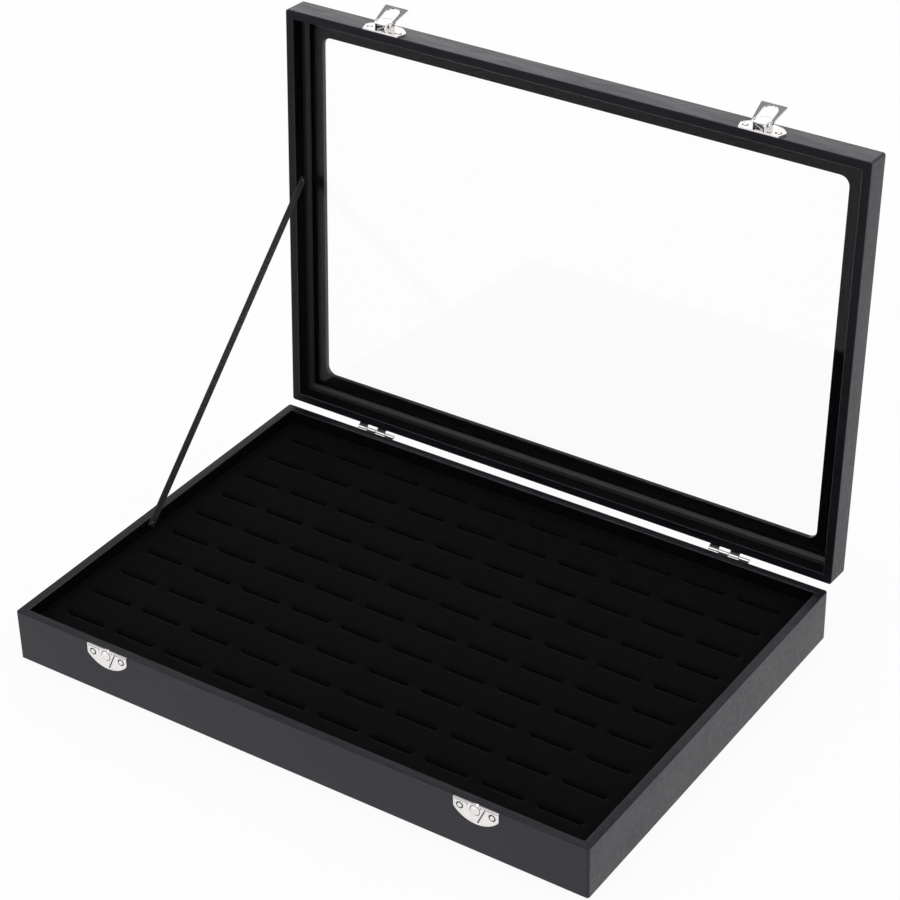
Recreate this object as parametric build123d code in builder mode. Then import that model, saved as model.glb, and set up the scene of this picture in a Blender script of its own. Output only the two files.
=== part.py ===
from build123d import *
import os
from math import atan2, cos, degrees, radians, sin

os.makedirs("parts", exist_ok=True)

# Ring display box. The underside is at z = 0, X runs along the box, the front is
# at -Y. The lid is modelled closed and then turned back about the hinge pins.

# overall sizes
box_length = 350.0
box_width = 241.0
base_height = 30.5
rim_gap = 0.4
lid_depth = 15.2
open_angle = 93.3

# boards and coverings
board = 4.0
covering = 0.5
wall = board + 2 * covering
corner_radius = 1.5
edge_radius = 0.5
edge_bevel = 0.35
felt_thickness = 0.3
felt_inset = 3.0
turn_under = 7.0

# pad of the tray
panel_thickness = 3.0
tray_board_thickness = 2.0
pad_top = base_height - 7.0
lining_depth = 8.0
slit_length = 24.0
slit_width = 1.0
slit_depth = 11.0
slit_pitch_x = 32.5
slit_pitch_y = 21.9
slits_along, slits_across = 10, 10

# window of the lid
window_margin = 16.0
window_corner = 5.5
window_board_thickness = 2.1
glass_thickness = 2.0
bead_width = 4.0
bead_depth = 2.4
bead_bevel = 1.6

# hinges
hinge_x = box_length / 2 - 60.0
hinge_y = box_width / 2 + 2.2
hinge_z = base_height - 0.4
hinge_pin_radius = 0.5
knuckle_bore = 0.55
knuckle_radius = 1.0
knuckle_length = 5.8
knuckle_pitch = 6.2
leaf_width = 3 * knuckle_pitch + knuckle_length
leaf_thickness = 0.5
leaf_height = 8.1

# latches
latch_x = box_length / 2 - 62.0
plate_width = 25.8
plate_thickness = 0.8
plate_end = 5.3
catch_top = base_height - 0.3
catch_height = 11.7
dome_z = catch_top - 2.8
dome_radius = 3.2
boss_half = 5.0
boss_tip = 1.0
boss_height = 0.8
boss_taper = 30.0
latch_plate_height = 12.6
latch_plate_foot = 22.4
bridge_width = 7.6
bridge_length = 8.7
bridge_rise = 5.6
bridge_sheet = 0.7
spring_sheet = 0.4
spring_start = 0.5
spring_width = 2.8
latch_pin_radius = 0.6
latch_bore = 0.65
flap_tilt = 20.0
flap_length = 13.2
flap_near_half = 5.6
flap_far_half = 7.4
flap_window_half = 4.3
flap_window_end = 12.2
flap_sheet = 0.8
flap_offset = 0.9
ear_radius = 2.0

# ribbon stay
ribbon_width = 6.0
ribbon_thickness = 0.8
ribbon_tail = 10.0
ribbon_trim = 20.0
stay_base_y, stay_base_z = -14.5, base_height - 4.2
stay_lid_y = -18.4
tack_radius = 1.5
tack_height = 0.7

# levels and half sizes that the pieces share
lid_rim = base_height + rim_gap
lid_top = lid_rim + lid_depth
inner_x = box_length / 2 - wall
inner_y = box_width / 2 - wall
core_length = box_length - 2 * covering
core_width = box_width - 2 * covering
core_corner = corner_radius - covering
walls_z = felt_thickness + covering
tray_board_z = walls_z + panel_thickness
pad_z = tray_board_z + tray_board_thickness
window_board_z = lid_top - covering - window_board_thickness
lining_z = window_board_z - covering
glass_z = lining_z - glass_thickness
bead_z = glass_z - bead_depth
latch_plate_z = lid_rim + 0.3
latch_pin_y = -box_width / 2 - 3.6
latch_pin_z = lid_rim + 4.5
stay_lid_z = lid_rim + 5.8
lining_foot = pad_top - lining_depth

hinge_axis = Axis((0, hinge_y, hinge_z), (1, 0, 0))
front = Plane.XZ.offset(box_width / 2)


def turn_open(piece):
    """Swing a finished piece of the lid from closed to open."""
    piece.part = piece.part.rotate(hinge_axis, -open_angle)


def opened(y, z):
    """Where a point of the closed lid lies once the lid is open."""
    angle = radians(open_angle)
    dy, dz = y - hinge_y, z - hinge_z
    return (
        hinge_y + dy * cos(angle) + dz * sin(angle),
        hinge_z - dy * sin(angle) + dz * cos(angle),
    )


def mitred(length, width, thickness, side):
    """Corners of one mitred board of a frame: side is the way it faces."""
    x, y = length / 2, width / 2
    if side in ("front", "back"):
        s = -1 if side == "front" else 1
        return [(-x, s * y), (x, s * y), (x - thickness, s * (y - thickness)), (thickness - x, s * (y - thickness))]
    s = -1 if side == "left" else 1
    return [(s * x, -y), (s * x, y), (s * (x - thickness), y - thickness), (s * (x - thickness), thickness - y)]


# ---------------------------------------------------------------- base: boards

base_wall_height = base_height - covering - walls_z

with BuildPart() as base_front_wall:
    with BuildSketch(Plane.XY.offset(walls_z)):
        RectangleRounded(core_length, core_width, core_corner)
        with BuildLine():
            Polyline(*mitred(core_length, core_width, board, "front"), close=True)
        make_face(mode=Mode.INTERSECT)
    extrude(amount=base_wall_height)
base_front_wall.part.label = "base_front_wall"
export_step(base_front_wall.part, "parts/base_front_wall.step")

with BuildPart() as base_back_wall:
    with BuildSketch(Plane.XY.offset(walls_z)):
        RectangleRounded(core_length, core_width, core_corner)
        with BuildLine():
            Polyline(*mitred(core_length, core_width, board, "back"), close=True)
        make_face(mode=Mode.INTERSECT)
    extrude(amount=base_wall_height)
base_back_wall.part.label = "base_back_wall"
export_step(base_back_wall.part, "parts/base_back_wall.step")

with BuildPart() as base_left_wall:
    with BuildSketch(Plane.XY.offset(walls_z)):
        RectangleRounded(core_length, core_width, core_corner)
        with BuildLine():
            Polyline(*mitred(core_length, core_width, board, "left"), close=True)
        make_face(mode=Mode.INTERSECT)
    extrude(amount=base_wall_height)
base_left_wall.part.label = "base_left_wall"
export_step(base_left_wall.part, "parts/base_left_wall.step")

with BuildPart() as base_right_wall:
    with BuildSketch(Plane.XY.offset(walls_z)):
        RectangleRounded(core_length, core_width, core_corner)
        with BuildLine():
            Polyline(*mitred(core_length, core_width, board, "right"), close=True)
        make_face(mode=Mode.INTERSECT)
    extrude(amount=base_wall_height)
base_right_wall.part.label = "base_right_wall"
export_step(base_right_wall.part, "parts/base_right_wall.step")

with BuildPart() as base_bottom_panel:
    with BuildSketch(Plane.XY.offset(walls_z)):
        Rectangle(core_length - 2 * board, core_width - 2 * board)
    extrude(amount=panel_thickness)
base_bottom_panel.part.label = "base_bottom_panel"
export_step(base_bottom_panel.part, "parts/base_bottom_panel.step")

# Leatherette: outside, rounded rim, inside down beside the pad, and turned under.
with BuildPart() as base_cover:
    with BuildSketch(Plane.XY.offset(felt_thickness)):
        RectangleRounded(box_length, box_width, corner_radius)
    extrude(amount=base_height - felt_thickness)
    with BuildSketch(Plane.XY.offset(lining_foot)):
        Rectangle(2 * inner_x, 2 * inner_y)
    extrude(amount=base_height, mode=Mode.SUBTRACT)
    rim = base_cover.faces().sort_by(Axis.Z)[-1]
    fillet(rim.outer_wire().edges(), edge_radius)
    rim = base_cover.faces().sort_by(Axis.Z)[-1]
    chamfer(rim.inner_wires().edges(), edge_bevel)
    chamfer(base_cover.faces().sort_by(Axis.Z)[0].edges(), edge_bevel)
    # the boards' room
    with BuildSketch(Plane.XY.offset(walls_z)):
        RectangleRounded(core_length, core_width, core_corner)
    extrude(amount=lining_foot - walls_z, mode=Mode.SUBTRACT)
    with BuildSketch(Plane.XY.offset(walls_z)):
        RectangleRounded(core_length, core_width, core_corner)
        Rectangle(core_length - 2 * board, core_width - 2 * board, mode=Mode.SUBTRACT)
    extrude(amount=base_wall_height, mode=Mode.SUBTRACT)
    # open middle of the turned-under edge
    with BuildSketch(Plane.XY):
        Rectangle(box_length - 2 * turn_under, box_width - 2 * turn_under)
    extrude(amount=walls_z, mode=Mode.SUBTRACT)
base_cover.part.label = "base_cover"
export_step(base_cover.part, "parts/base_cover.step")

with BuildPart() as underside_felt:
    with BuildSketch(Plane.XY):
        RectangleRounded(box_length - 2 * felt_inset, box_width - 2 * felt_inset, 2.0)
    extrude(amount=felt_thickness)
    with BuildSketch(Plane.XY.offset(felt_thickness)):
        Rectangle(box_length - 2 * turn_under, box_width - 2 * turn_under)
    extrude(amount=covering)
underside_felt.part.label = "underside_felt"
export_step(underside_felt.part, "parts/underside_felt.step")

# ------------------------------------------------------------------- base: pad

with BuildPart() as tray_board:
    with BuildSketch(Plane.XY.offset(tray_board_z)):
        Rectangle(core_length - 2 * board, core_width - 2 * board)
    extrude(amount=tray_board_thickness)
tray_board.part.label = "tray_board"
export_step(tray_board.part, "parts/tray_board.step")

with BuildPart() as ring_pad_foam:
    with BuildSketch(Plane.XY.offset(pad_z)):
        Rectangle(2 * (inner_x - covering), 2 * (inner_y - covering))
    extrude(amount=pad_top - covering - pad_z)
    chamfer(ring_pad_foam.faces().sort_by(Axis.Z)[-1].edges(), 1.0)
    with BuildSketch(Plane.XY.offset(pad_top - covering)):
        with GridLocations(slit_pitch_x, slit_pitch_y, slits_along, slits_across):
            Rectangle(slit_length + 2 * covering, slit_width + 2 * covering)
    extrude(amount=-slit_depth, mode=Mode.SUBTRACT)
ring_pad_foam.part.label = "ring_pad_foam"
export_step(ring_pad_foam.part, "parts/ring_pad_foam.step")

# Velvet: a skin over the foam that dips into every slit and lines it.
with BuildPart() as ring_pad_velvet:
    with BuildSketch(Plane.XY.offset(pad_z)):
        Rectangle(2 * inner_x, 2 * inner_y)
    extrude(amount=pad_top - pad_z)
    fillet(ring_pad_velvet.faces().sort_by(Axis.Z)[-1].edges(), 1.5)
    with BuildSketch(Plane.XY.offset(pad_top)):
        with GridLocations(slit_pitch_x, slit_pitch_y, slits_along, slits_across):
            Rectangle(slit_length, slit_width)
    extrude(amount=-slit_depth, mode=Mode.SUBTRACT)
    add(ring_pad_foam.part, mode=Mode.SUBTRACT)
ring_pad_velvet.part.label = "ring_pad_velvet"
export_step(ring_pad_velvet.part, "parts/ring_pad_velvet.step")

# --------------------------------------------------------------- base: catches

# Half-moon plate with a pressed wedge and a hollow dome that the flap snaps over.
with BuildPart() as catch_plate_left:
    with BuildSketch(front):
        with BuildLine():
            top = Line((-latch_x - plate_width / 2, catch_top), (-latch_x + plate_width / 2, catch_top))
            end = Line(top @ 1, (-latch_x + plate_width / 2, catch_top - plate_end))
            bow = ThreePointArc(end @ 1, (-latch_x, catch_top - catch_height), (-latch_x - plate_width / 2, catch_top - plate_end))
            Line(bow @ 1, top @ 0)
        make_face()
    extrude(amount=plate_thickness)
    with BuildSketch(front.offset(plate_thickness)):
        with BuildLine():
            Polyline(
                (-latch_x - boss_half, dome_z + 1.2),
                (-latch_x + boss_half, dome_z + 1.2),
                (-latch_x + boss_tip, catch_top - catch_height + 1.2),
                (-latch_x - boss_tip, catch_top - catch_height + 1.2),
                close=True,
            )
        make_face()
    extrude(amount=boss_height, taper=boss_taper)
    # the dome is pressed out of the sheet, so it is hollow behind
    for radius, steps, mode in ((dome_radius, 4, Mode.ADD), (dome_radius - plate_thickness, 2, Mode.SUBTRACT)):
        with BuildSketch(Plane.XY.offset(dome_z)):
            with BuildLine():
                rise = [radians(90 * step / steps) for step in range(steps + 1)]
                Polyline(
                    (-latch_x, -box_width / 2),
                    *[(radius * cos(a) - latch_x, -radius * sin(a) - box_width / 2) for a in rise],
                    close=True,
                )
            make_face()
        revolve(axis=Axis((-latch_x, 0, dome_z), (0, 1, 0)), mode=mode)
catch_plate_left.part.label = "catch_plate_left"
export_step(catch_plate_left.part, "parts/catch_plate_left.step")

with BuildPart() as catch_plate_right:
    mirror(catch_plate_left.part, about=Plane.YZ)
catch_plate_right.part.label = "catch_plate_right"
export_step(catch_plate_right.part, "parts/catch_plate_right.step")

# --------------------------------------------------------------- base: hinges

# Fixed leaf: flat plate on the back, and two fingers cranked out to their knuckles.
# The knuckles alternate, counted from the left: lid, base, lid, base.
with BuildPart() as hinge_left_base_leaf:
    with BuildSketch(Plane.YZ.offset(-hinge_x - leaf_width / 2)):
        with BuildLine():
            leaf_top = hinge_z - 1.9
            Polyline(
                (box_width / 2, leaf_top - leaf_height),
                (box_width / 2, leaf_top),
                (box_width / 2 + leaf_thickness, leaf_top),
                (box_width / 2 + leaf_thickness, leaf_top - leaf_height),
                close=True,
            )
        make_face()
    extrude(amount=leaf_width)
    for knuckle in (1, 3):
        with BuildSketch(Plane.YZ.offset(-hinge_x - leaf_width / 2 + knuckle * knuckle_pitch)):
            with BuildLine():
                Polyline(
                    (box_width / 2, leaf_top),
                    (box_width / 2, leaf_top + 0.25),
                    (hinge_y - 0.45, hinge_z - 0.05),
                    (hinge_y + 0.10, hinge_z - 0.27),
                    (box_width / 2 + leaf_thickness, leaf_top),
                    close=True,
                )
            make_face()
            with Locations((hinge_y, hinge_z)):
                Circle(knuckle_radius)
                Circle(knuckle_bore, mode=Mode.SUBTRACT)
        extrude(amount=knuckle_length)
hinge_left_base_leaf.part.label = "hinge_left_base_leaf"
export_step(hinge_left_base_leaf.part, "parts/hinge_left_base_leaf.step")

with BuildPart() as hinge_right_base_leaf:
    with Locations((2 * hinge_x, 0, 0)):
        add(hinge_left_base_leaf.part)
hinge_right_base_leaf.part.label = "hinge_right_base_leaf"
export_step(hinge_right_base_leaf.part, "parts/hinge_right_base_leaf.step")

with BuildPart() as hinge_left_pin:
    with BuildSketch(Plane.YZ.offset(-hinge_x - leaf_width / 2)):
        with Locations((hinge_y, hinge_z)):
            Circle(hinge_pin_radius)
    extrude(amount=leaf_width)
hinge_left_pin.part.label = "hinge_left_pin"
export_step(hinge_left_pin.part, "parts/hinge_left_pin.step")

with BuildPart() as hinge_right_pin:
    with Locations((2 * hinge_x, 0, 0)):
        add(hinge_left_pin.part)
hinge_right_pin.part.label = "hinge_right_pin"
export_step(hinge_right_pin.part, "parts/hinge_right_pin.step")

# Flat-headed tacks on the ribbon's face hold its two ends.
with BuildPart() as stay_lower_tack:
    with BuildSketch(Plane.YZ.offset(ribbon_thickness - inner_x)):
        with Locations((stay_base_y, stay_base_z)):
            Circle(tack_radius)
    extrude(amount=tack_height)
stay_lower_tack.part.label = "stay_lower_tack"
export_step(stay_lower_tack.part, "parts/stay_lower_tack.step")

# ----------------------------------------------------------------- lid: boards

lid_rail_height = window_board_z - lid_rim - covering

with BuildPart() as lid_front_rail:
    with BuildSketch(Plane.XY.offset(lid_rim + covering)):
        RectangleRounded(core_length, core_width, core_corner)
        with BuildLine():
            Polyline(*mitred(core_length, core_width, board, "front"), close=True)
        make_face(mode=Mode.INTERSECT)
    extrude(amount=lid_rail_height)
turn_open(lid_front_rail)
lid_front_rail.part.label = "lid_front_rail"
export_step(lid_front_rail.part, "parts/lid_front_rail.step")

with BuildPart() as lid_back_rail:
    with BuildSketch(Plane.XY.offset(lid_rim + covering)):
        RectangleRounded(core_length, core_width, core_corner)
        with BuildLine():
            Polyline(*mitred(core_length, core_width, board, "back"), close=True)
        make_face(mode=Mode.INTERSECT)
    extrude(amount=lid_rail_height)
turn_open(lid_back_rail)
lid_back_rail.part.label = "lid_back_rail"
export_step(lid_back_rail.part, "parts/lid_back_rail.step")

with BuildPart() as lid_left_rail:
    with BuildSketch(Plane.XY.offset(lid_rim + covering)):
        RectangleRounded(core_length, core_width, core_corner)
        with BuildLine():
            Polyline(*mitred(core_length, core_width, board, "left"), close=True)
        make_face(mode=Mode.INTERSECT)
    extrude(amount=lid_rail_height)
turn_open(lid_left_rail)
lid_left_rail.part.label = "lid_left_rail"
export_step(lid_left_rail.part, "parts/lid_left_rail.step")

with BuildPart() as lid_right_rail:
    with BuildSketch(Plane.XY.offset(lid_rim + covering)):
        RectangleRounded(core_length, core_width, core_corner)
        with BuildLine():
            Polyline(*mitred(core_length, core_width, board, "right"), close=True)
        make_face(mode=Mode.INTERSECT)
    extrude(amount=lid_rail_height)
turn_open(lid_right_rail)
lid_right_rail.part.label = "lid_right_rail"
export_step(lid_right_rail.part, "parts/lid_right_rail.step")

window_length = box_length - 2 * window_margin
window_width = box_width - 2 * window_margin

with BuildPart() as lid_window_board:
    with BuildSketch(Plane.XY.offset(window_board_z)):
        RectangleRounded(core_length, core_width, core_corner)
        RectangleRounded(
            window_length + 2 * covering,
            window_width + 2 * covering,
            window_corner + covering,
            mode=Mode.SUBTRACT,
        )
    extrude(amount=window_board_thickness)
turn_open(lid_window_board)
lid_window_board.part.label = "lid_window_board"
export_step(lid_window_board.part, "parts/lid_window_board.step")

# Leatherette round the rails and over the window board's cut edge.
with BuildPart() as lid_cover:
    with BuildSketch(Plane.XY.offset(lid_rim)):
        RectangleRounded(box_length, box_width, corner_radius)
    extrude(amount=lid_depth)
    with BuildSketch(Plane.XY.offset(lid_rim)):
        Rectangle(2 * inner_x, 2 * inner_y)
    extrude(amount=lining_z - lid_rim, mode=Mode.SUBTRACT)
    with BuildSketch(Plane.XY.offset(lid_rim)):
        RectangleRounded(window_length, window_width, window_corner)
    extrude(amount=lid_depth, mode=Mode.SUBTRACT)
    fillet(lid_cover.faces().sort_by(Axis.Z)[-1].outer_wire().edges(), edge_radius)
    chamfer(lid_cover.faces().sort_by(Axis.Z)[-1].inner_wires().edges(), edge_bevel)
    chamfer(lid_cover.faces().sort_by(Axis.Z)[0].edges(), edge_bevel)
    # the rails' room
    with BuildSketch(Plane.XY.offset(lid_rim + covering)):
        RectangleRounded(core_length, core_width, core_corner)
        Rectangle(core_length - 2 * board, core_width - 2 * board, mode=Mode.SUBTRACT)
    extrude(amount=lid_rail_height, mode=Mode.SUBTRACT)
    # the window board's room
    with BuildSketch(Plane.XY.offset(window_board_z)):
        RectangleRounded(core_length, core_width, core_corner)
        RectangleRounded(
            window_length + 2 * covering,
            window_width + 2 * covering,
            window_corner + covering,
            mode=Mode.SUBTRACT,
        )
    extrude(amount=window_board_thickness, mode=Mode.SUBTRACT)
turn_open(lid_cover)
lid_cover.part.label = "lid_cover"
export_step(lid_cover.part, "parts/lid_cover.step")

# ------------------------------------------------------------- lid: glazing

glass_length = 2 * inner_x - 1.0
glass_width = 2 * inner_y - 1.0

with BuildPart() as lid_glass:
    with BuildSketch(Plane.XY.offset(glass_z)):
        Rectangle(glass_length, glass_width)
    extrude(amount=glass_thickness)
turn_open(lid_glass)
lid_glass.part.label = "lid_glass"
export_step(lid_glass.part, "parts/lid_glass.step")

# Glazing beads: mitred strips with a bevelled inner edge.
with BuildPart() as glass_bead_front:
    with BuildSketch(Plane.XY.offset(bead_z)):
        with BuildLine():
            Polyline(*mitred(2 * inner_x, 2 * inner_y, bead_width, "front"), close=True)
        make_face()
    extrude(amount=bead_depth)
    chamfer(glass_bead_front.edges().filter_by(Axis.X).group_by(Axis.Z)[0].sort_by(Axis.Y)[-1], bead_bevel)
turn_open(glass_bead_front)
glass_bead_front.part.label = "glass_bead_front"
export_step(glass_bead_front.part, "parts/glass_bead_front.step")

with BuildPart() as glass_bead_back:
    with BuildSketch(Plane.XY.offset(bead_z)):
        with BuildLine():
            Polyline(*mitred(2 * inner_x, 2 * inner_y, bead_width, "back"), close=True)
        make_face()
    extrude(amount=bead_depth)
    chamfer(glass_bead_back.edges().filter_by(Axis.X).group_by(Axis.Z)[0].sort_by(Axis.Y)[0], bead_bevel)
turn_open(glass_bead_back)
glass_bead_back.part.label = "glass_bead_back"
export_step(glass_bead_back.part, "parts/glass_bead_back.step")

with BuildPart() as glass_bead_left:
    with BuildSketch(Plane.XY.offset(bead_z)):
        with BuildLine():
            Polyline(*mitred(2 * inner_x, 2 * inner_y, bead_width, "left"), close=True)
        make_face()
    extrude(amount=bead_depth)
    chamfer(glass_bead_left.edges().filter_by(Axis.Y).group_by(Axis.Z)[0].sort_by(Axis.X)[-1], bead_bevel)
turn_open(glass_bead_left)
glass_bead_left.part.label = "glass_bead_left"
export_step(glass_bead_left.part, "parts/glass_bead_left.step")

with BuildPart() as glass_bead_right:
    with BuildSketch(Plane.XY.offset(bead_z)):
        with BuildLine():
            Polyline(*mitred(2 * inner_x, 2 * inner_y, bead_width, "right"), close=True)
        make_face()
    extrude(amount=bead_depth)
    chamfer(glass_bead_right.edges().filter_by(Axis.Y).group_by(Axis.Z)[0].sort_by(Axis.X)[0], bead_bevel)
turn_open(glass_bead_right)
glass_bead_right.part.label = "glass_bead_right"
export_step(glass_bead_right.part, "parts/glass_bead_right.step")

# --------------------------------------------------------------- lid: hinges

# The moving leaf is the fixed one turned half round about the barrel's middle,
# which brings its knuckles into the other one's gaps.
with BuildPart() as hinge_left_lid_leaf:
    add(hinge_left_base_leaf.part.rotate(Axis((-hinge_x, 0, hinge_z), (0, 1, 0)), 180))
turn_open(hinge_left_lid_leaf)
hinge_left_lid_leaf.part.label = "hinge_left_lid_leaf"
export_step(hinge_left_lid_leaf.part, "parts/hinge_left_lid_leaf.step")

with BuildPart() as hinge_right_lid_leaf:
    with Locations((2 * hinge_x, 0, 0)):
        add(hinge_left_lid_leaf.part)
hinge_right_lid_leaf.part.label = "hinge_right_lid_leaf"
export_step(hinge_right_lid_leaf.part, "parts/hinge_right_lid_leaf.step")

with BuildPart() as stay_upper_tack:
    with BuildSketch(Plane.YZ.offset(ribbon_thickness - inner_x)):
        with Locations((stay_lid_y, stay_lid_z)):
            Circle(tack_radius)
    extrude(amount=tack_height)
turn_open(stay_upper_tack)
stay_upper_tack.part.label = "stay_upper_tack"
export_step(stay_upper_tack.part, "parts/stay_upper_tack.step")

# -------------------------------------------------------------- lid: latches

# Half-moon plate with a bridge, open at both ends, whose cheeks carry the pin.
with BuildPart() as latch_plate_left:
    with BuildSketch(front):
        with BuildLine():
            foot = Line(
                (-latch_x - latch_plate_foot / 2, latch_plate_z),
                (-latch_x + latch_plate_foot / 2, latch_plate_z),
            )
            end = Line(foot @ 1, (-latch_x + plate_width / 2, latch_plate_z + plate_end))
            bow = ThreePointArc(
                end @ 1,
                (-latch_x, latch_plate_z + latch_plate_height),
                (-latch_x - plate_width / 2, latch_plate_z + plate_end),
            )
            Line(bow @ 1, foot @ 0)
        make_face()
    extrude(amount=plate_thickness)
    with BuildSketch(Plane.XY.offset(latch_plate_z)) as bridge:
        with Locations((-latch_x, -box_width / 2 - bridge_rise / 2 - 0.2)):
            Rectangle(bridge_width, bridge_rise - 0.4)
        fillet(bridge.vertices().group_by(Axis.Y)[0], 1.2)
        with Locations((-latch_x, -(box_width + plate_thickness + bridge_rise - bridge_sheet) / 2)):
            Rectangle(
                bridge_width - 2 * bridge_sheet,
                bridge_rise - bridge_sheet - plate_thickness,
                mode=Mode.SUBTRACT,
            )
    extrude(amount=bridge_length)
    with Locations(Location((-latch_x, latch_pin_y, latch_pin_z), (0, 90, 0))):
        Cylinder(latch_bore, bridge_width + 1, mode=Mode.SUBTRACT)
turn_open(latch_plate_left)
latch_plate_left.part.label = "latch_plate_left"
export_step(latch_plate_left.part, "parts/latch_plate_left.step")

with BuildPart() as latch_plate_right:
    mirror(latch_plate_left.part, about=Plane.YZ)
latch_plate_right.part.label = "latch_plate_right"
export_step(latch_plate_right.part, "parts/latch_plate_right.step")

# Strip spring folded to a Z in the bridge's open end: its foot bears on the plate
# and its top leaf on the bridge's roof.
with BuildPart() as latch_spring_left:
    with BuildSketch(Plane.XY.offset(latch_plate_z + spring_start)):
        with BuildLine() as strip:
            spring_foot = -box_width / 2 - plate_thickness - spring_sheet / 2
            spring_head = -box_width / 2 - bridge_rise + bridge_sheet + spring_sheet / 2
            Polyline(
                (-latch_x - 2.2, spring_head + 0.6),
                (-latch_x + 1.2, spring_head),
                (-latch_x + 2.2, spring_head + 1.0),
                (-latch_x - 1.9, spring_foot - 1.0),
                (-latch_x - 2.1, spring_foot),
                (-latch_x + 2.3, spring_foot),
            )
        trace(strip.line, line_width=spring_sheet)
    extrude(amount=spring_width)
turn_open(latch_spring_left)
latch_spring_left.part.label = "latch_spring_left"
export_step(latch_spring_left.part, "parts/latch_spring_left.step")

with BuildPart() as latch_spring_right:
    mirror(latch_spring_left.part, about=Plane.YZ)
latch_spring_right.part.label = "latch_spring_right"
export_step(latch_spring_right.part, "parts/latch_spring_right.step")

# ------------------------------------------------------------- latch flaps

# The flap flipped up: its sheet leans out from the lid's face by the tilt, on the
# outer side of the pin, so that turned down it lies flat over the catch plate.
flap_face = Plane(
    origin=(-latch_x, latch_pin_y, latch_pin_z),
    x_dir=(1, 0, 0),
    z_dir=(0, -cos(radians(flap_tilt)), -sin(radians(flap_tilt))),
)

with BuildPart() as latch_flap_left:
    with BuildSketch(flap_face.offset(flap_offset)) as sheet:
        with BuildLine():
            Polyline(
                (-flap_near_half, -1.0),
                (-flap_far_half, flap_length),
                (flap_far_half, flap_length),
                (flap_near_half, -1.0),
                close=True,
            )
        make_face()
        fillet(sheet.vertices().group_by(Axis.Y)[-1], 0.4)
        with BuildLine():
            near = Line((-flap_window_half, flap_window_end - flap_window_half), (-flap_window_half, -1.0))
            foot = Line(near @ 1, (flap_window_half, -1.0))
            far = Line(foot @ 1, (flap_window_half, flap_window_end - flap_window_half))
            ThreePointArc(far @ 1, (0, flap_window_end), near @ 0)
        make_face(mode=Mode.SUBTRACT)
    extrude(amount=flap_sheet)
    # two ears beside the bridge
    for ear_x in (-flap_window_half - flap_sheet, flap_window_half):
        with BuildSketch(Plane.YZ.offset(-latch_x + ear_x)):
            with Locations((latch_pin_y, latch_pin_z)):
                Circle(ear_radius)
        extrude(amount=flap_sheet)
    with Locations(Location((-latch_x, latch_pin_y, latch_pin_z), (0, 90, 0))):
        Cylinder(latch_bore, 4 * flap_window_half, mode=Mode.SUBTRACT)
turn_open(latch_flap_left)
latch_flap_left.part.label = "latch_flap_left"
export_step(latch_flap_left.part, "parts/latch_flap_left.step")

with BuildPart() as latch_flap_right:
    mirror(latch_flap_left.part, about=Plane.YZ)
latch_flap_right.part.label = "latch_flap_right"
export_step(latch_flap_right.part, "parts/latch_flap_right.step")

with BuildPart() as latch_pin_left:
    with BuildSketch(Plane.YZ.offset(-latch_x - 5.5)):
        with Locations((latch_pin_y, latch_pin_z)):
            Circle(latch_pin_radius)
    extrude(amount=11.0)
turn_open(latch_pin_left)
latch_pin_left.part.label = "latch_pin_left"
export_step(latch_pin_left.part, "parts/latch_pin_left.step")

with BuildPart() as latch_pin_right:
    mirror(latch_pin_left.part, about=Plane.YZ)
latch_pin_right.part.label = "latch_pin_right"
export_step(latch_pin_right.part, "parts/latch_pin_right.step")

# ------------------------------------------------------------------ ribbon

# Taut between its two tacks, flat against the left sides' inner faces; its ends
# are cut parallel to the pad and to the lid's pane.
lid_tack_y, lid_tack_z = opened(stay_lid_y, stay_lid_z)
trim_y, trim_z = opened(stay_lid_y, bead_z - 0.2 + ribbon_trim / 2)
stay_run = Vector(lid_tack_y - stay_base_y, lid_tack_z - stay_base_z)
stay_slope = degrees(atan2(stay_run.Y, stay_run.X))

with BuildPart() as stay_ribbon:
    with BuildSketch(Plane.YZ.offset(-inner_x)):
        with Locations(((stay_base_y + lid_tack_y) / 2, (stay_base_z + lid_tack_z) / 2)):
            Rectangle(stay_run.length + ribbon_tail, ribbon_width, rotation=stay_slope)
        with Locations((stay_base_y, pad_top + 0.3 - ribbon_trim / 2)):
            Rectangle(2 * ribbon_trim, ribbon_trim, mode=Mode.SUBTRACT)
        with Locations((trim_y, trim_z)):
            Rectangle(ribbon_trim, 2 * ribbon_trim, rotation=90 - open_angle, mode=Mode.SUBTRACT)
    extrude(amount=ribbon_thickness)
stay_ribbon.part.label = "stay_ribbon"
export_step(stay_ribbon.part, "parts/stay_ribbon.step")
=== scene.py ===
"""Ring display box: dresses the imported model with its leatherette, velvet and metalwork."""
import logging
from dataclasses import dataclass
from enum import Enum
from math import atan2, cos, radians, sin
from typing import Callable, Dict, List, Optional, Sequence, Tuple, Union

import bmesh
import bpy
from mathutils import Matrix, Vector


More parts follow.
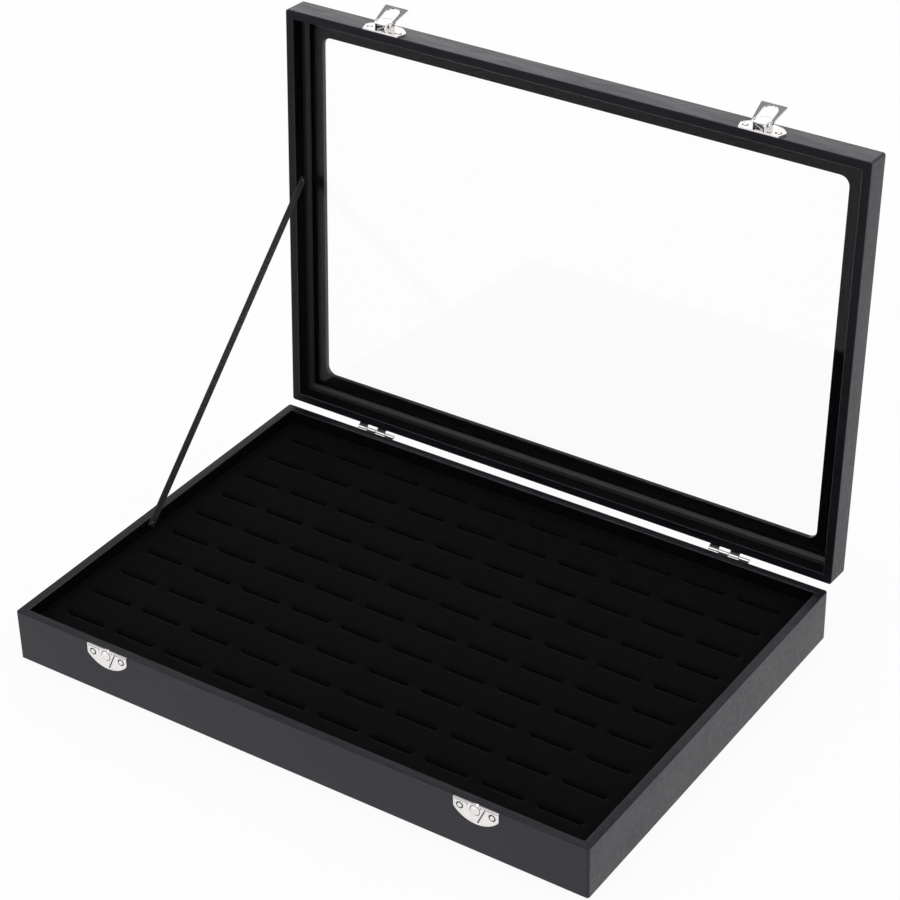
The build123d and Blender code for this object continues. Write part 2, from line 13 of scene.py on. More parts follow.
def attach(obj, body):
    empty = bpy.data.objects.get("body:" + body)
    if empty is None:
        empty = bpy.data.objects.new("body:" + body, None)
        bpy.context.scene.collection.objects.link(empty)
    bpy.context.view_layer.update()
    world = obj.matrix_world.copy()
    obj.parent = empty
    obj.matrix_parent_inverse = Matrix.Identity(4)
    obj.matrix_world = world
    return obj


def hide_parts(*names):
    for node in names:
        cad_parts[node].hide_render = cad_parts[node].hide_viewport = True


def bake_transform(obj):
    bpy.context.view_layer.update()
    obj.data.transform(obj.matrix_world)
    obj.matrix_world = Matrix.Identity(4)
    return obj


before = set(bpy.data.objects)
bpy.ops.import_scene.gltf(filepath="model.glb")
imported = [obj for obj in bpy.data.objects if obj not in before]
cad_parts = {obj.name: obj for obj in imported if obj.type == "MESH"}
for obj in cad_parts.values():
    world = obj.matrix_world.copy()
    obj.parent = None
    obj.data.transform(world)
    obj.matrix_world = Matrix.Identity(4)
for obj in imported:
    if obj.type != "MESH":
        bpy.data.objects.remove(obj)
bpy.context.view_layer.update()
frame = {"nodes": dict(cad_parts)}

MM = 0.001
ALONG = 0.9  # a normal with more than this of an axis looks along it
ACROSS = 0.3  # and one with less than this looks across it
Pair = Tuple[float, float]
Point = Tuple[float, float, float]
Colour = Tuple[float, float, float, float]
Material = bpy.types.Material
Mesh = bpy.types.Mesh
Node = bpy.types.Node
Piece = bpy.types.Object
Socket = bpy.types.NodeSocket
Tree = bpy.types.NodeTree
Values = Dict[Union[int, str], Union[float, Sequence[float], Socket]]

logging.basicConfig(level=logging.INFO, format="%(message)s")
log = logging.getLogger("ring_box")


class Body(Enum):
    """The bodies that a piece can ride on."""

    BASE = "base"
    LID = "lid"
    FLAP_LEFT = "flap_left"
    FLAP_RIGHT = "flap_right"


@dataclass(frozen=True)
class Swing:
    """The lid's turn about its hinge pins, in millimetres and degrees."""

    y: float = 122.7
    z: float = 30.1
    angle: float = 93.3

    def opened(self, x: float, y: float, z: float) -> Point:
        """Where a point of the closed lid lies once the lid is open.

        Args:
            x, y, z: the point with the lid closed, in millimetres.

        Returns:
            The point with the lid open, in metres.
        """
        a = radians(self.angle)
        dy, dz = y - self.y, z - self.z
        return (x * MM, (self.y + dy * cos(a) + dz * sin(a)) * MM, (self.z - dy * sin(a) + dz * cos(a)) * MM)

    def turned(self, y: float, z: float) -> Vector:
        """A direction of the closed lid once the lid is open."""
        a = radians(self.angle)
        return Vector((0.0, y * cos(a) + z * sin(a), -y * sin(a) + z * cos(a)))

    def closed(self, face: bpy.types.MeshPolygon, on_lid: bool) -> Tuple[Vector, Vector]:
        """Where a face lies and looks once the box is closed.

        Args:
            face: the face, as it is with the lid open.
            on_lid: whether it is the lid's.

        Returns:
            Its middle, in millimetres, and its normal.
        """
        if not on_lid:
            return face.center / MM, face.normal
        turn = Matrix.Rotation(radians(self.angle), 3, "X")
        pin = Vector((0.0, self.y, self.z))
        return turn @ (face.center / MM - pin) + pin, turn @ face.normal


@dataclass(frozen=True)
class Places:
    """Where the hardware sits on the closed box, in millimetres."""

    latch_x: float = 113.0
    hinge_x: float = 115.0
    wall_y: float = -120.5
    plate_y: float = -121.3
    leaf_y: float = 121.0
    tack_x: float = -169.3
    lower_tack: Pair = (-14.5, 26.3)
    upper_tack: Pair = (-18.4, 36.7)

    @staticmethod
    def sides(x: float) -> Tuple[Tuple[str, float], Tuple[str, float]]:
        """The two places at x from the middle, with the names of their sides."""
        return ("left", -x), ("right", x)


SWING = Swing()
PLACES = Places()


class Graph:
    """A node tree that is being filled."""

    def __init__(self, tree: Tree) -> None:
        """Keeps the tree that the nodes go into."""
        self.tree = tree

    def fill(self, node: Node, values: Values) -> Node:
        """Gives a node's inputs their values.

        Args:
            node: the node.
            values: what each input holds, or the output that feeds it.

        Returns:
            The same node.
        """
        for key, value in values.items():
            if isinstance(value, Socket):
                self.tree.links.new(value, node.inputs[key])
            else:
                node.inputs[key].default_value = value
        return node

    def add(self, kind: str, values: Optional[Values] = None, **settings: object) -> Node:
        """Adds one node.

        Args:
            kind: the node's type name.
            values: what each input holds, or the output that feeds it.
            settings: the node's own properties.

        Returns:
            The new node.
        """
        node = self.tree.nodes.new(kind)
        for name, value in settings.items():
            setattr(node, name, value)
        return self.fill(node, values or {})

    def math(self, operation: str, *terms: Union[float, Socket], clamp: bool = False) -> Socket:
        """One Math node's result for the given terms."""
        return self.add("ShaderNodeMath", dict(enumerate(terms)), operation=operation, use_clamp=clamp).outputs[0]

    def blend(self, factor: Socket, low: Colour, high: Colour) -> Socket:
        """A colour between two colours."""
        return self.add("ShaderNodeMix", {0: factor, 6: low, 7: high}, data_type="RGBA").outputs[2]

    def between(self, factor: Socket, low: float, high: float) -> Socket:
        """A number between two numbers."""
        return self.add("ShaderNodeMapRange", {"Value": factor, "To Min": low, "To Max": high}).outputs[0]

    def noise(self, vector: Socket, scale: Union[float, Socket], detail: float, **more: float) -> Socket:
        """A noise's value; more holds its other inputs by name."""
        values = {"Vector": vector, "Scale": scale, "Detail": detail, **more}
        return self.add("ShaderNodeTexNoise", values).outputs["Fac"]

    def shared(self, first: Socket, share: float, second: Socket) -> Socket:
        """The first number by its share plus the second by the rest."""
        return self.math("ADD", self.math("MULTIPLY", first, share), self.math("MULTIPLY", second, 1.0 - share))

    def steep(self, tone: Socket, gain: float) -> Socket:
        """A tone with more contrast about its middle, kept from 0 to 1."""
        return self.math("MULTIPLY_ADD", self.math("SUBTRACT", tone, 0.5), gain, 0.5, clamp=True)

    def copies(self, points: Socket, instance: Socket, **more: Socket) -> Socket:
        """Real copies of a geometry on points; more holds the other inputs by name."""
        placed = self.add("GeometryNodeInstanceOnPoints", {"Points": points, "Instance": instance, **more})
        return self.add("GeometryNodeRealizeInstances", {0: placed.outputs[0]}).outputs[0]


class Effects:
    """Surface effects that several finishes share, each built once as a node group."""

    def __init__(self) -> None:
        """Builds the groups."""
        self.grain = self._grain()
        self.fibre = self._fibre()
        self.handling = self._handling()
        self.mitre = self._mitre()

    @staticmethod
    def _group(name: str, inputs: Dict[str, float], *outputs: str) -> Tuple[Graph, Dict[str, Socket], Node]:
        """Starts a group that reads a vector and some numbers.

        Args:
            name: the group's name.
            inputs: its numbers and their defaults.
            outputs: its results, all numbers.

        Returns:
            Its graph, the inside ends of its inputs, and its output node.
        """
        tree = bpy.data.node_groups.new(name, "ShaderNodeTree")
        tree.interface.new_socket("Vector", in_out="INPUT", socket_type="NodeSocketVector")
        for key, value in inputs.items():
            tree.interface.new_socket(key, in_out="INPUT", socket_type="NodeSocketFloat").default_value = value
        for key in outputs:
            tree.interface.new_socket(key, in_out="OUTPUT", socket_type="NodeSocketFloat")
        graph = Graph(tree)
        start = graph.add("NodeGroupInput")
        return graph, {s.name: s for s in start.outputs if s.name}, graph.add("NodeGroupOutput")

    def _grain(self) -> Tree:
        """Embossed leather grain: fine pebbles under longer lengthwise creases."""
        g, i, out = self._group("leather_grain", {"Pebble": 900.0, "Stretch": 5.0, "Creases": 0.6}, "Height", "Tone")
        along = g.add("ShaderNodeSeparateXYZ", {0: i["Vector"]}).outputs
        drawn = g.add("ShaderNodeCombineXYZ", {
            0: g.math("DIVIDE", along[0], i["Stretch"]), 1: along[1], 2: along[2]}).outputs[0]
        pebble = g.add("ShaderNodeTexVoronoi", {"Vector": drawn, "Scale": i["Pebble"]}, feature="SMOOTH_F1")
        crease = g.noise(drawn, g.math("MULTIPLY", i["Pebble"], 0.42), 5.0, Roughness=0.62)
        broad = g.noise(i["Vector"], 22.0, 3.0)
        low = g.math("MULTIPLY", pebble.outputs["Distance"], g.math("SUBTRACT", 1.0, i["Creases"]))
        high = g.math("MULTIPLY", crease, i["Creases"])
        g.fill(out, {"Height": g.math("ADD", low, high), "Tone": g.steep(g.shared(crease, 0.7, broad), 2.4)})
        return g.tree

    def _fibre(self) -> Tree:
        """Short fibres or pile: fine speckle with soft brushed patches."""
        g, i, out = self._group("fibre_pile", {"Fineness": 1800.0, "Patches": 30.0}, "Height", "Tone")
        fine = g.noise(i["Vector"], i["Fineness"], 4.0, Roughness=0.7)
        patch = g.noise(i["Vector"], i["Patches"], 3.0, Roughness=0.55, Distortion=0.6)
        g.fill(out, {"Height": fine, "Tone": g.steep(g.shared(fine, 0.5, patch), 2.6)})
        return g.tree

    def _handling(self) -> Tree:
        """Faint smears and hair scratches left by fingers and cloths."""
        g, i, out = self._group("handling_marks", {"Smears": 60.0, "Scratches": 900.0}, "Height", "Tone")
        smear = g.noise(i["Vector"], i["Smears"], 3.0, Distortion=1.2)
        turned = g.add("ShaderNodeMapping", {
            "Vector": i["Vector"], "Rotation": (0.3, 0.2, 0.5), "Scale": (1.0, 0.06, 0.3)}).outputs[0]
        scratch = g.noise(turned, i["Scratches"], 2.0)
        g.fill(out, {"Height": scratch, "Tone": g.shared(smear, 0.7, scratch)})
        return g.tree

    def _mitre(self) -> Tree:
        """Folded mitre of the covering at each corner, for a frame centred on X and Y."""
        g, i, out = self._group(
            "mitre_fold", {"Half Length": 0.175, "Half Width": 0.1205, "Reach": 0.02, "Line": 0.00035}, "Line")
        part = g.add("ShaderNodeSeparateXYZ", {0: i["Vector"]}).outputs
        dx = g.math("SUBTRACT", i["Half Length"], g.math("ABSOLUTE", part[0]))
        dy = g.math("SUBTRACT", i["Half Width"], g.math("ABSOLUTE", part[1]))
        away = g.math("ABSOLUTE", g.math("SUBTRACT", dx, dy))
        line = g.math("SUBTRACT", 1.0, g.math("DIVIDE", away, i["Line"]), clamp=True)
        near = g.math("LESS_THAN", g.math("MAXIMUM", dx, dy), i["Reach"])
        inside = g.math("GREATER_THAN", g.math("MINIMUM", dx, dy), 0.0006)
        g.fill(out, {"Line": g.math("MULTIPLY", g.math("MULTIPLY", line, near), inside)})
        return g.tree


EFFECTS = Effects()


def start_material(name: str) -> Tuple[Material, Graph, Node, Socket]:
    """Starts a material.

    Args:
        name: the material's name.

    Returns:
        The material, its graph, its Principled node, and the object coordinates.
    """
    material = bpy.data.materials.new(name)
    material.use_nodes = True
    graph = Graph(material.node_tree)
    shader = material.node_tree.nodes["Principled BSDF"]
    return material, graph, shader, graph.add("ShaderNodeTexCoord").outputs["Object"]


def effect(graph: Graph, tree: Tree, vector: Socket, **values: float) -> bpy.types.NodeOutputs:
    """Places a shared effect in a material.

    Args:
        graph: the material's graph.
        tree: the effect.
        vector: the coordinates that it reads.
        values: its numbers.

    Returns:
        The outputs of the group's node.
    """
    return graph.fill(graph.add("ShaderNodeGroup", node_tree=tree), {"Vector": vector, **values}).outputs


def bump(graph: Graph, shader: Node, height: Socket, strength: float, distance: float) -> None:
    """Feeds a height to a shader's normal.

    Args:
        graph: the material's graph.
        shader: its Principled node.
        height: the height, from 0 to 1.
        strength: how much of it shows.
        distance: the real height of 1, in metres.
    """
    node = graph.add("ShaderNodeBump", {"Height": height, "Strength": strength, "Distance": distance})
    graph.fill(shader, {"Normal": node.outputs[0]})


@dataclass(frozen=True)
class Surface:
    """A surface whose tone lies between two colours and two roughnesses."""

    dark: Colour
    light: Colour
    roughness: Pair

    def toned(self, graph: Graph, shader: Node, tone: Socket, values: Values) -> None:
        """Gives a shader its colour and roughness by a tone from 0 to 1, and its other values."""
        graph.fill(shader, {
            "Base Color": graph.blend(tone, self.dark, self.light),
            "Roughness": graph.between(tone, *self.roughness), **values})


@dataclass(frozen=True)
class Leatherette(Surface):
    """Black embossed leatherette with a satin face."""

    dark: Colour = (0.0029, 0.0025, 0.0042, 1.0)
    light: Colour = (0.0134, 0.0117, 0.0172, 1.0)
    roughness: Pair = (0.28, 0.50)
    shine: float = 0.41
    tint: Colour = (0.89, 0.87, 1.0, 1.0)
    pebble: float = 900.0
    stretch: float = 7.0
    creases: float = 0.7
    fold_shade: float = 0.6
    fold_depth: float = 0.8
    relief: float = 0.00022

    def material(self, name: str, on_lid: bool) -> Material:
        """Makes the finish.

        Args:
            name: the material's name.
            on_lid: whether the pattern follows the open lid.

        Returns:
            The material.
        """
        material, g, shader, place = start_material(name)
        if on_lid:
            angle = radians(SWING.angle)
            pin = Vector((0.0, SWING.y * MM, SWING.z * MM))
            place = g.add("ShaderNodeMapping", {
                "Vector": place, "Rotation": (angle, 0.0, 0.0),
                "Location": pin - Matrix.Rotation(angle, 3, "X") @ pin}).outputs[0]
        grain = effect(g, EFFECTS.grain, place, Pebble=self.pebble, Stretch=self.stretch, Creases=self.creases)
        fold = effect(g, EFFECTS.mitre, place)["Line"]
        tone = g.math("SUBTRACT", grain["Tone"], g.math("MULTIPLY", fold, self.fold_shade), clamp=True)
        height = g.math("SUBTRACT", grain["Height"], g.math("MULTIPLY", fold, self.fold_depth))
        bump(g, shader, height, 0.9, self.relief)
        self.toned(g, shader, tone, {"Specular IOR Level": self.shine, "Specular Tint": self.tint})
        return material


@dataclass(frozen=True)
class Cloth(Surface):
    """Short fibres, as of velvet, felt, foam, board and card."""

    fineness: float
    patches: float
    relief: float
    sheen: float = 0.0
    shine: float = 0.3

    def material(self, name: str) -> Material:
        """Makes the finish under the given name."""
        material, g, shader, place = start_material(name)
        pile = effect(g, EFFECTS.fibre, place, Fineness=self.fineness, Patches=self.patches)
        bump(g, shader, pile["Height"], 0.5, self.relief)
        self.toned(g, shader, pile["Tone"], {
            "Sheen Weight": self.sheen, "Sheen Roughness": 0.45, "Specular IOR Level": self.shine})
        return material


@dataclass(frozen=True)
class Hard(Surface):
    """A plated, enamelled or lacquered surface."""

    metallic: float = 0.0
    coat: float = 0.0
    relief: float = 0.00002

    def material(self, name: str) -> Material:
        """Makes the finish under the given name."""
        material, g, shader, place = start_material(name)
        marks = effect(g, EFFECTS.handling, place, Smears=90.0, Scratches=1400.0)
        bump(g, shader, marks["Height"], 0.25, self.relief)
        self.toned(g, shader, marks["Tone"], {
            "Metallic": self.metallic, "Coat Weight": self.coat, "Coat Roughness": 0.12})
        return material


@dataclass(frozen=True)
class Weave(Surface):
    """Woven ribbon: fine ribs across its length, read from its own UV map in millimetres."""

    dark: Colour = (0.006, 0.006, 0.007, 1.0)
    light: Colour = (0.022, 0.022, 0.025, 1.0)
    roughness: Pair = (0.62, 0.45)
    ribs: float = 2.4
    warps: float = 3.84

    def material(self, name: str) -> Material:
        """Makes the finish under the given name."""
        material, g, shader, _ = start_material(name)
        place = g.add("ShaderNodeUVMap", uv_map="run").outputs[0]
        rib = g.add("ShaderNodeTexWave", {
            "Vector": place, "Scale": self.ribs, "Distortion": 0.4, "Detail": 1.0}, bands_direction="Y")
        warp = g.add("ShaderNodeTexWave", {
            "Vector": place, "Scale": self.warps, "Distortion": 0.2}, bands_direction="X")
        tone = g.math("MULTIPLY", rib.outputs["Fac"], g.math("MULTIPLY_ADD", warp.outputs["Fac"], 0.4, 0.6))
        bump(g, shader, tone, 0.6, 0.00015)
        self.toned(g, shader, tone, {"Sheen Weight": 0.15})
        return material


@dataclass(frozen=True)
class Pane:
    """Clear glass, a touch green, that lets lamps light what is behind it."""

    colour: Colour = (0.985, 0.995, 0.99, 1.0)
    roughness: Pair = (0.0, 0.003)
    bending: float = 1.2
    shine: float = 0.25

    def material(self, name: str) -> Material:
        """Makes the finish under the given name."""
        material, g, shader, place = start_material(name)
        marks = effect(g, EFFECTS.handling, place, Smears=14.0, Scratches=300.0)
        g.fill(shader, {
            "Base Color": self.colour, "Transmission Weight": 1.0, "IOR": self.bending,
            "Specular IOR Level": self.shine, "Roughness": g.between(marks["Tone"], *self.roughness)})
        clear = g.add("ShaderNodeBsdfTransparent", {"Color": self.colour})
        path = g.add("ShaderNodeLightPath").outputs
        soft = g.math("MAXIMUM", path["Is Shadow Ray"], path["Is Diffuse Ray"])
        either = g.add("ShaderNodeMixShader", {0: soft, 1: shader.outputs[0], 2: clear.outputs[0]})
        g.fill(material.node_tree.nodes["Material Output"], {"Surface": either.outputs[0]})
        return material


class Finish(Enum):
    """The finishes, by the slot that each one fills in the record."""

    LEATHERETTE = "leatherette"
    VELVET = "velvet"
    FELT = "felt"
    RIBBON = "ribbon"
    FOAM = "foam"
    BOARD = "board"
    CARD = "card"
    BEAD = "bead"
    GLASS = "glass"
    NICKEL = "nickel"
    SPRING = "spring_steel"
    BLACK_METAL = "black_metal"


def make_finishes() -> Dict[Finish, Material]:
    """Makes the usual material of each finish."""
    return {
        Finish.LEATHERETTE: Leatherette().material("leatherette_base", False),
        Finish.VELVET: Cloth(
            dark=(0.0008, 0.0008, 0.0009, 1), light=(0.0027, 0.0027, 0.0030, 1), roughness=(0.80, 0.96),
            fineness=2600.0, patches=26.0, relief=0.00030, sheen=0.02, shine=0.05).material("velvet_black"),
        Finish.FELT: Cloth(
            dark=(0.006, 0.006, 0.006, 1), light=(0.02, 0.02, 0.02, 1), roughness=(0.85, 1.0),
            fineness=1400.0, patches=40.0, relief=0.0003, sheen=0.15).material("felt_black"),
        Finish.RIBBON: Weave().material("ribbon_woven"),
        Finish.FOAM: Cloth(
            dark=(0.015, 0.015, 0.015, 1), light=(0.05, 0.05, 0.05, 1), roughness=(0.9, 1.0),
            fineness=1100.0, patches=60.0, relief=0.0004).material("foam_dark"),
        Finish.BOARD: Cloth(
            dark=(0.22, 0.145, 0.085, 1), light=(0.40, 0.29, 0.18, 1), roughness=(0.75, 0.9),
            fineness=900.0, patches=45.0, relief=0.0001).material("fibre_board"),
        Finish.CARD: Cloth(
            dark=(0.20, 0.185, 0.16, 1), light=(0.32, 0.30, 0.27, 1), roughness=(0.8, 0.95),
            fineness=1600.0, patches=50.0, relief=0.00006).material("grey_card"),
        Finish.BEAD: Hard(
            dark=(0.003, 0.003, 0.003, 1), light=(0.007, 0.0066, 0.0066, 1),
            roughness=(0.55, 0.70)).material("bead_lacquer"),
        Finish.GLASS: Pane().material("glass_clear"),
        Finish.NICKEL: Hard(
            dark=(0.74, 0.72, 0.71, 1), light=(0.93, 0.90, 0.89, 1), roughness=(0.06, 0.17),
            metallic=1.0).material("nickel_plate"),
        Finish.SPRING: Hard(
            dark=(0.50, 0.50, 0.51, 1), light=(0.68, 0.68, 0.68, 1), roughness=(0.22, 0.36),
            metallic=1.0).material("spring_steel"),
        Finish.BLACK_METAL: Hard(
            dark=(0.010, 0.010, 0.010, 1), light=(0.024, 0.024, 0.025, 1), roughness=(0.26, 0.40),
            coat=0.3).material("black_enamel"),
    }


FINISHES = make_finishes()
LID_LEATHERETTE = Leatherette().material("leatherette_lid", True)
# Less shiny copies of the leatherette for the rim faces, so that the rims render darker: painted shade.
RIM_SHADE_LEATHERETTE = Leatherette(shine=0.22).material("leatherette_base_rim_shade", False)
LID_RIM_SHADE_LEATHERETTE = Leatherette(shine=0.16).material("leatherette_lid_rim_shade", True)
# A darker, matt cloth that the coverings' inner faces take.
DARK_INNER_CLOTH = Cloth(
    dark=(0.0008, 0.0008, 0.0009, 1), light=(0.0022, 0.0021, 0.0023, 1), roughness=(0.66, 0.82),
    fineness=1500.0, patches=34.0, relief=0.00008, shine=0.06).material("inner_cloth_dark_matt")
# Dark dull metal that paints shade and dark reflection onto chosen faces of the nickel pieces.
PAINTED_SHADE_PLATE = Hard(
    dark=(0.05, 0.048, 0.045, 1), light=(0.11, 0.105, 0.10, 1), roughness=(0.42, 0.60),
    metallic=1.0).material("painted_shade_plate")


def dress(piece: Piece, finish: Finish, material: Optional[Material] = None) -> Piece:
    """Gives a piece its finish.

    Args:
        piece: the piece.
        finish: the record's finish that it takes.
        material: another material of that finish, if not the usual one.

    Returns:
        The same piece.
    """
    piece.data.materials.clear()
    piece.data.materials.append(material or FINISHES[finish])
    return piece


def link(name: str, data: bpy.types.ID) -> Piece:
    """Puts a mesh, a lamp or a camera into the scene as an object at the origin."""
    piece = bpy.data.objects.new(name, data)
    bpy.context.scene.collection.objects.link(piece)
    return piece


def smooth(mesh: Mesh, angle: float) -> None:
    """Shades a mesh smooth but for its edges over an angle in degrees."""
    mesh.polygons.foreach_set("use_smooth", [True] * len(mesh.polygons))
    mesh.set_sharp_from_angle(angle=radians(angle))


def face_outwards(mesh: Mesh, merge: float = 0.0, skin: bool = False) -> Mesh:
    """Turns a mesh's faces outwards.

    Args:
        mesh: the mesh.
        merge: points nearer than this become one first, in metres.
        skin: whether it is an open skin, whose largest face looks up.

    Returns:
        The same mesh.
    """
    work = bmesh.new()
    work.from_mesh(mesh)
    if merge:
        bmesh.ops.remove_doubles(work, verts=work.verts[:], dist=merge)
    bmesh.ops.recalc_face_normals(work, faces=work.faces[:])
    if skin and max(work.faces, key=lambda f: f.calc_area()).normal.z < 0:
        bmesh.ops.reverse_faces(work, faces=work.faces[:])
    work.to_mesh(mesh)
    work.free()
    return mesh


def refined(node: str, name: str, body: Body, crease: float, bevel: float = 0.0) -> Piece:
    """A merged copy of a CAD node, with smooth faces and soft edges, that stands for it.

    Args:
        node: the CAD node.
        name: the new piece's name.
        body: the body that it rides on.
        crease: edges over this angle stay sharp, in degrees.
        bevel: the rounding of those edges, in millimetres.

    Returns:
        The new piece.
    """
    mesh = frame["nodes"][node].data.copy()
    mesh.name = name
    work = bmesh.new()
    work.from_mesh(mesh)
    bmesh.ops.remove_doubles(work, verts=work.verts[:], dist=3e-6)
    bmesh.ops.dissolve_limit(work, angle_limit=radians(0.6), verts=work.verts[:], edges=work.edges[:])
    work.to_mesh(mesh)
    work.free()
    smooth(mesh, crease)
    piece = link(name, mesh)
    if bevel:
        soft = piece.modifiers.new("soft_edges", "BEVEL")
        soft.width = bevel * MM
        soft.segments = 2
        soft.limit_method = "ANGLE"
        soft.angle_limit = radians(crease)
        soft.use_clamp_overlap = True
        soft.harden_normals = True
    piece.modifiers.new("even_shading", "WEIGHTED_NORMAL").keep_sharp = True
    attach(piece, body.value)
    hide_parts(node)
    return piece


class Loft:
    """Vertices and faces gathered for one mesh, in millimetres."""

    def __init__(self) -> None:
        """Starts empty."""
        self.points: List[Point] = []
        self.faces: List[Tuple[int, ...]] = []

    def ring(self, points: Sequence[Point]) -> List[int]:
        """Adds a row of points and gives their numbers."""
        first = len(self.points)
        self.points.extend(points)
        return list(range(first, len(self.points)))

    def bridge(self, rings: Sequence[Sequence[int]]) -> None:
        """Joins closed rows of points with quads.

        Args:
            rings: the rows, each of which joins the next one.
        """
        for low, high in zip(rings, rings[1:]):
            for k, corner in enumerate(low):
                m = (k + 1) % len(low)
                self.faces.append((corner, low[m], high[m], high[k]))

    def cap(self, rings: Sequence[Sequence[int]]) -> None:
        """Closes the first and the last of some rows of points."""
        self.faces += [tuple(rings[0]), tuple(rings[-1])]

    def grid(self, rows: Sequence[Sequence[int]], gap_x: range, gap_y: range) -> None:
        """Fills open rows of points with quads but for a gap.

        Args:
            rows: the rows.
            gap_x, gap_y: the columns and the rows of quads that are left out.
        """
        for j, (low, high) in enumerate(zip(rows, rows[1:])):
            for k in range(len(low) - 1):
                if k not in gap_x or j not in gap_y:
                    self.faces.append((low[k], low[k + 1], high[k + 1], high[k]))

    def mesh(self, name: str) -> Mesh:
        """Makes the mesh as it stands, in metres."""
        mesh = bpy.data.meshes.new(name)
        mesh.from_pydata([(x * MM, y * MM, z * MM) for x, y, z in self.points], [], self.faces)
        return mesh

    def piece(self, name: str, crease: float, finish: Finish) -> Piece:
        """Makes the piece in its finish, merged, with edges over crease degrees sharp."""
        mesh = face_outwards(self.mesh(name), merge=2e-6)
        smooth(mesh, crease)
        return dress(link(name, mesh), finish)


def nodes_tree(name: str, inputs: Dict[str, object]) -> Tuple[Graph, bpy.types.NodeOutputs, Node]:
    """Starts a geometry node tree.

    Args:
        name: the tree's name.
        inputs: default of each input after the geometry, or its socket's type where it has none.

    Returns:
        Its graph, the inside ends of its inputs, and its output node.
    """
    tree = bpy.data.node_groups.new(name, "GeometryNodeTree")
    tree.interface.new_socket("Geometry", in_out="INPUT", socket_type="NodeSocketGeometry")
    tree.interface.new_socket("Geometry", in_out="OUTPUT", socket_type="NodeSocketGeometry")
    for label, value in inputs.items():
        kind = value if isinstance(value, str) else "NodeSocketInt" if isinstance(value, int) else "NodeSocketFloat"
        socket = tree.interface.new_socket(label, in_out="INPUT", socket_type=kind)
        if not isinstance(value, str):
            socket.default_value = value
    graph = Graph(tree)
    return graph, graph.add("NodeGroupInput").outputs, graph.add("NodeGroupOutput")


def grown(seed: Piece, tree: Tree, values: Dict[str, object], name: str) -> Piece:
    """Runs a tree on an object and keeps its result as a plain mesh.

    Args:
        seed: the object that the tree starts from, which is then removed.
        tree: the geometry node tree.
        values: the tree's inputs by name.
        name: the new piece's name.

    Returns:
        The new piece.
    """
    modifier = seed.modifiers.new("grow", "NODES")
    modifier.node_group = tree
    sockets = {s.name: s.identifier for s in tree.interface.items_tree if s.in_out == "INPUT"}
    for label, value in values.items():
        modifier[sockets[label]] = value
    bpy.context.view_layer.update()
    depsgraph = bpy.context.evaluated_depsgraph_get()
    mesh = bpy.data.meshes.new_from_object(seed.evaluated_get(depsgraph))
    mesh.name = name
    seed.modifiers.remove(modifier)
    bpy.data.objects.remove(seed)
    return link(name, mesh)


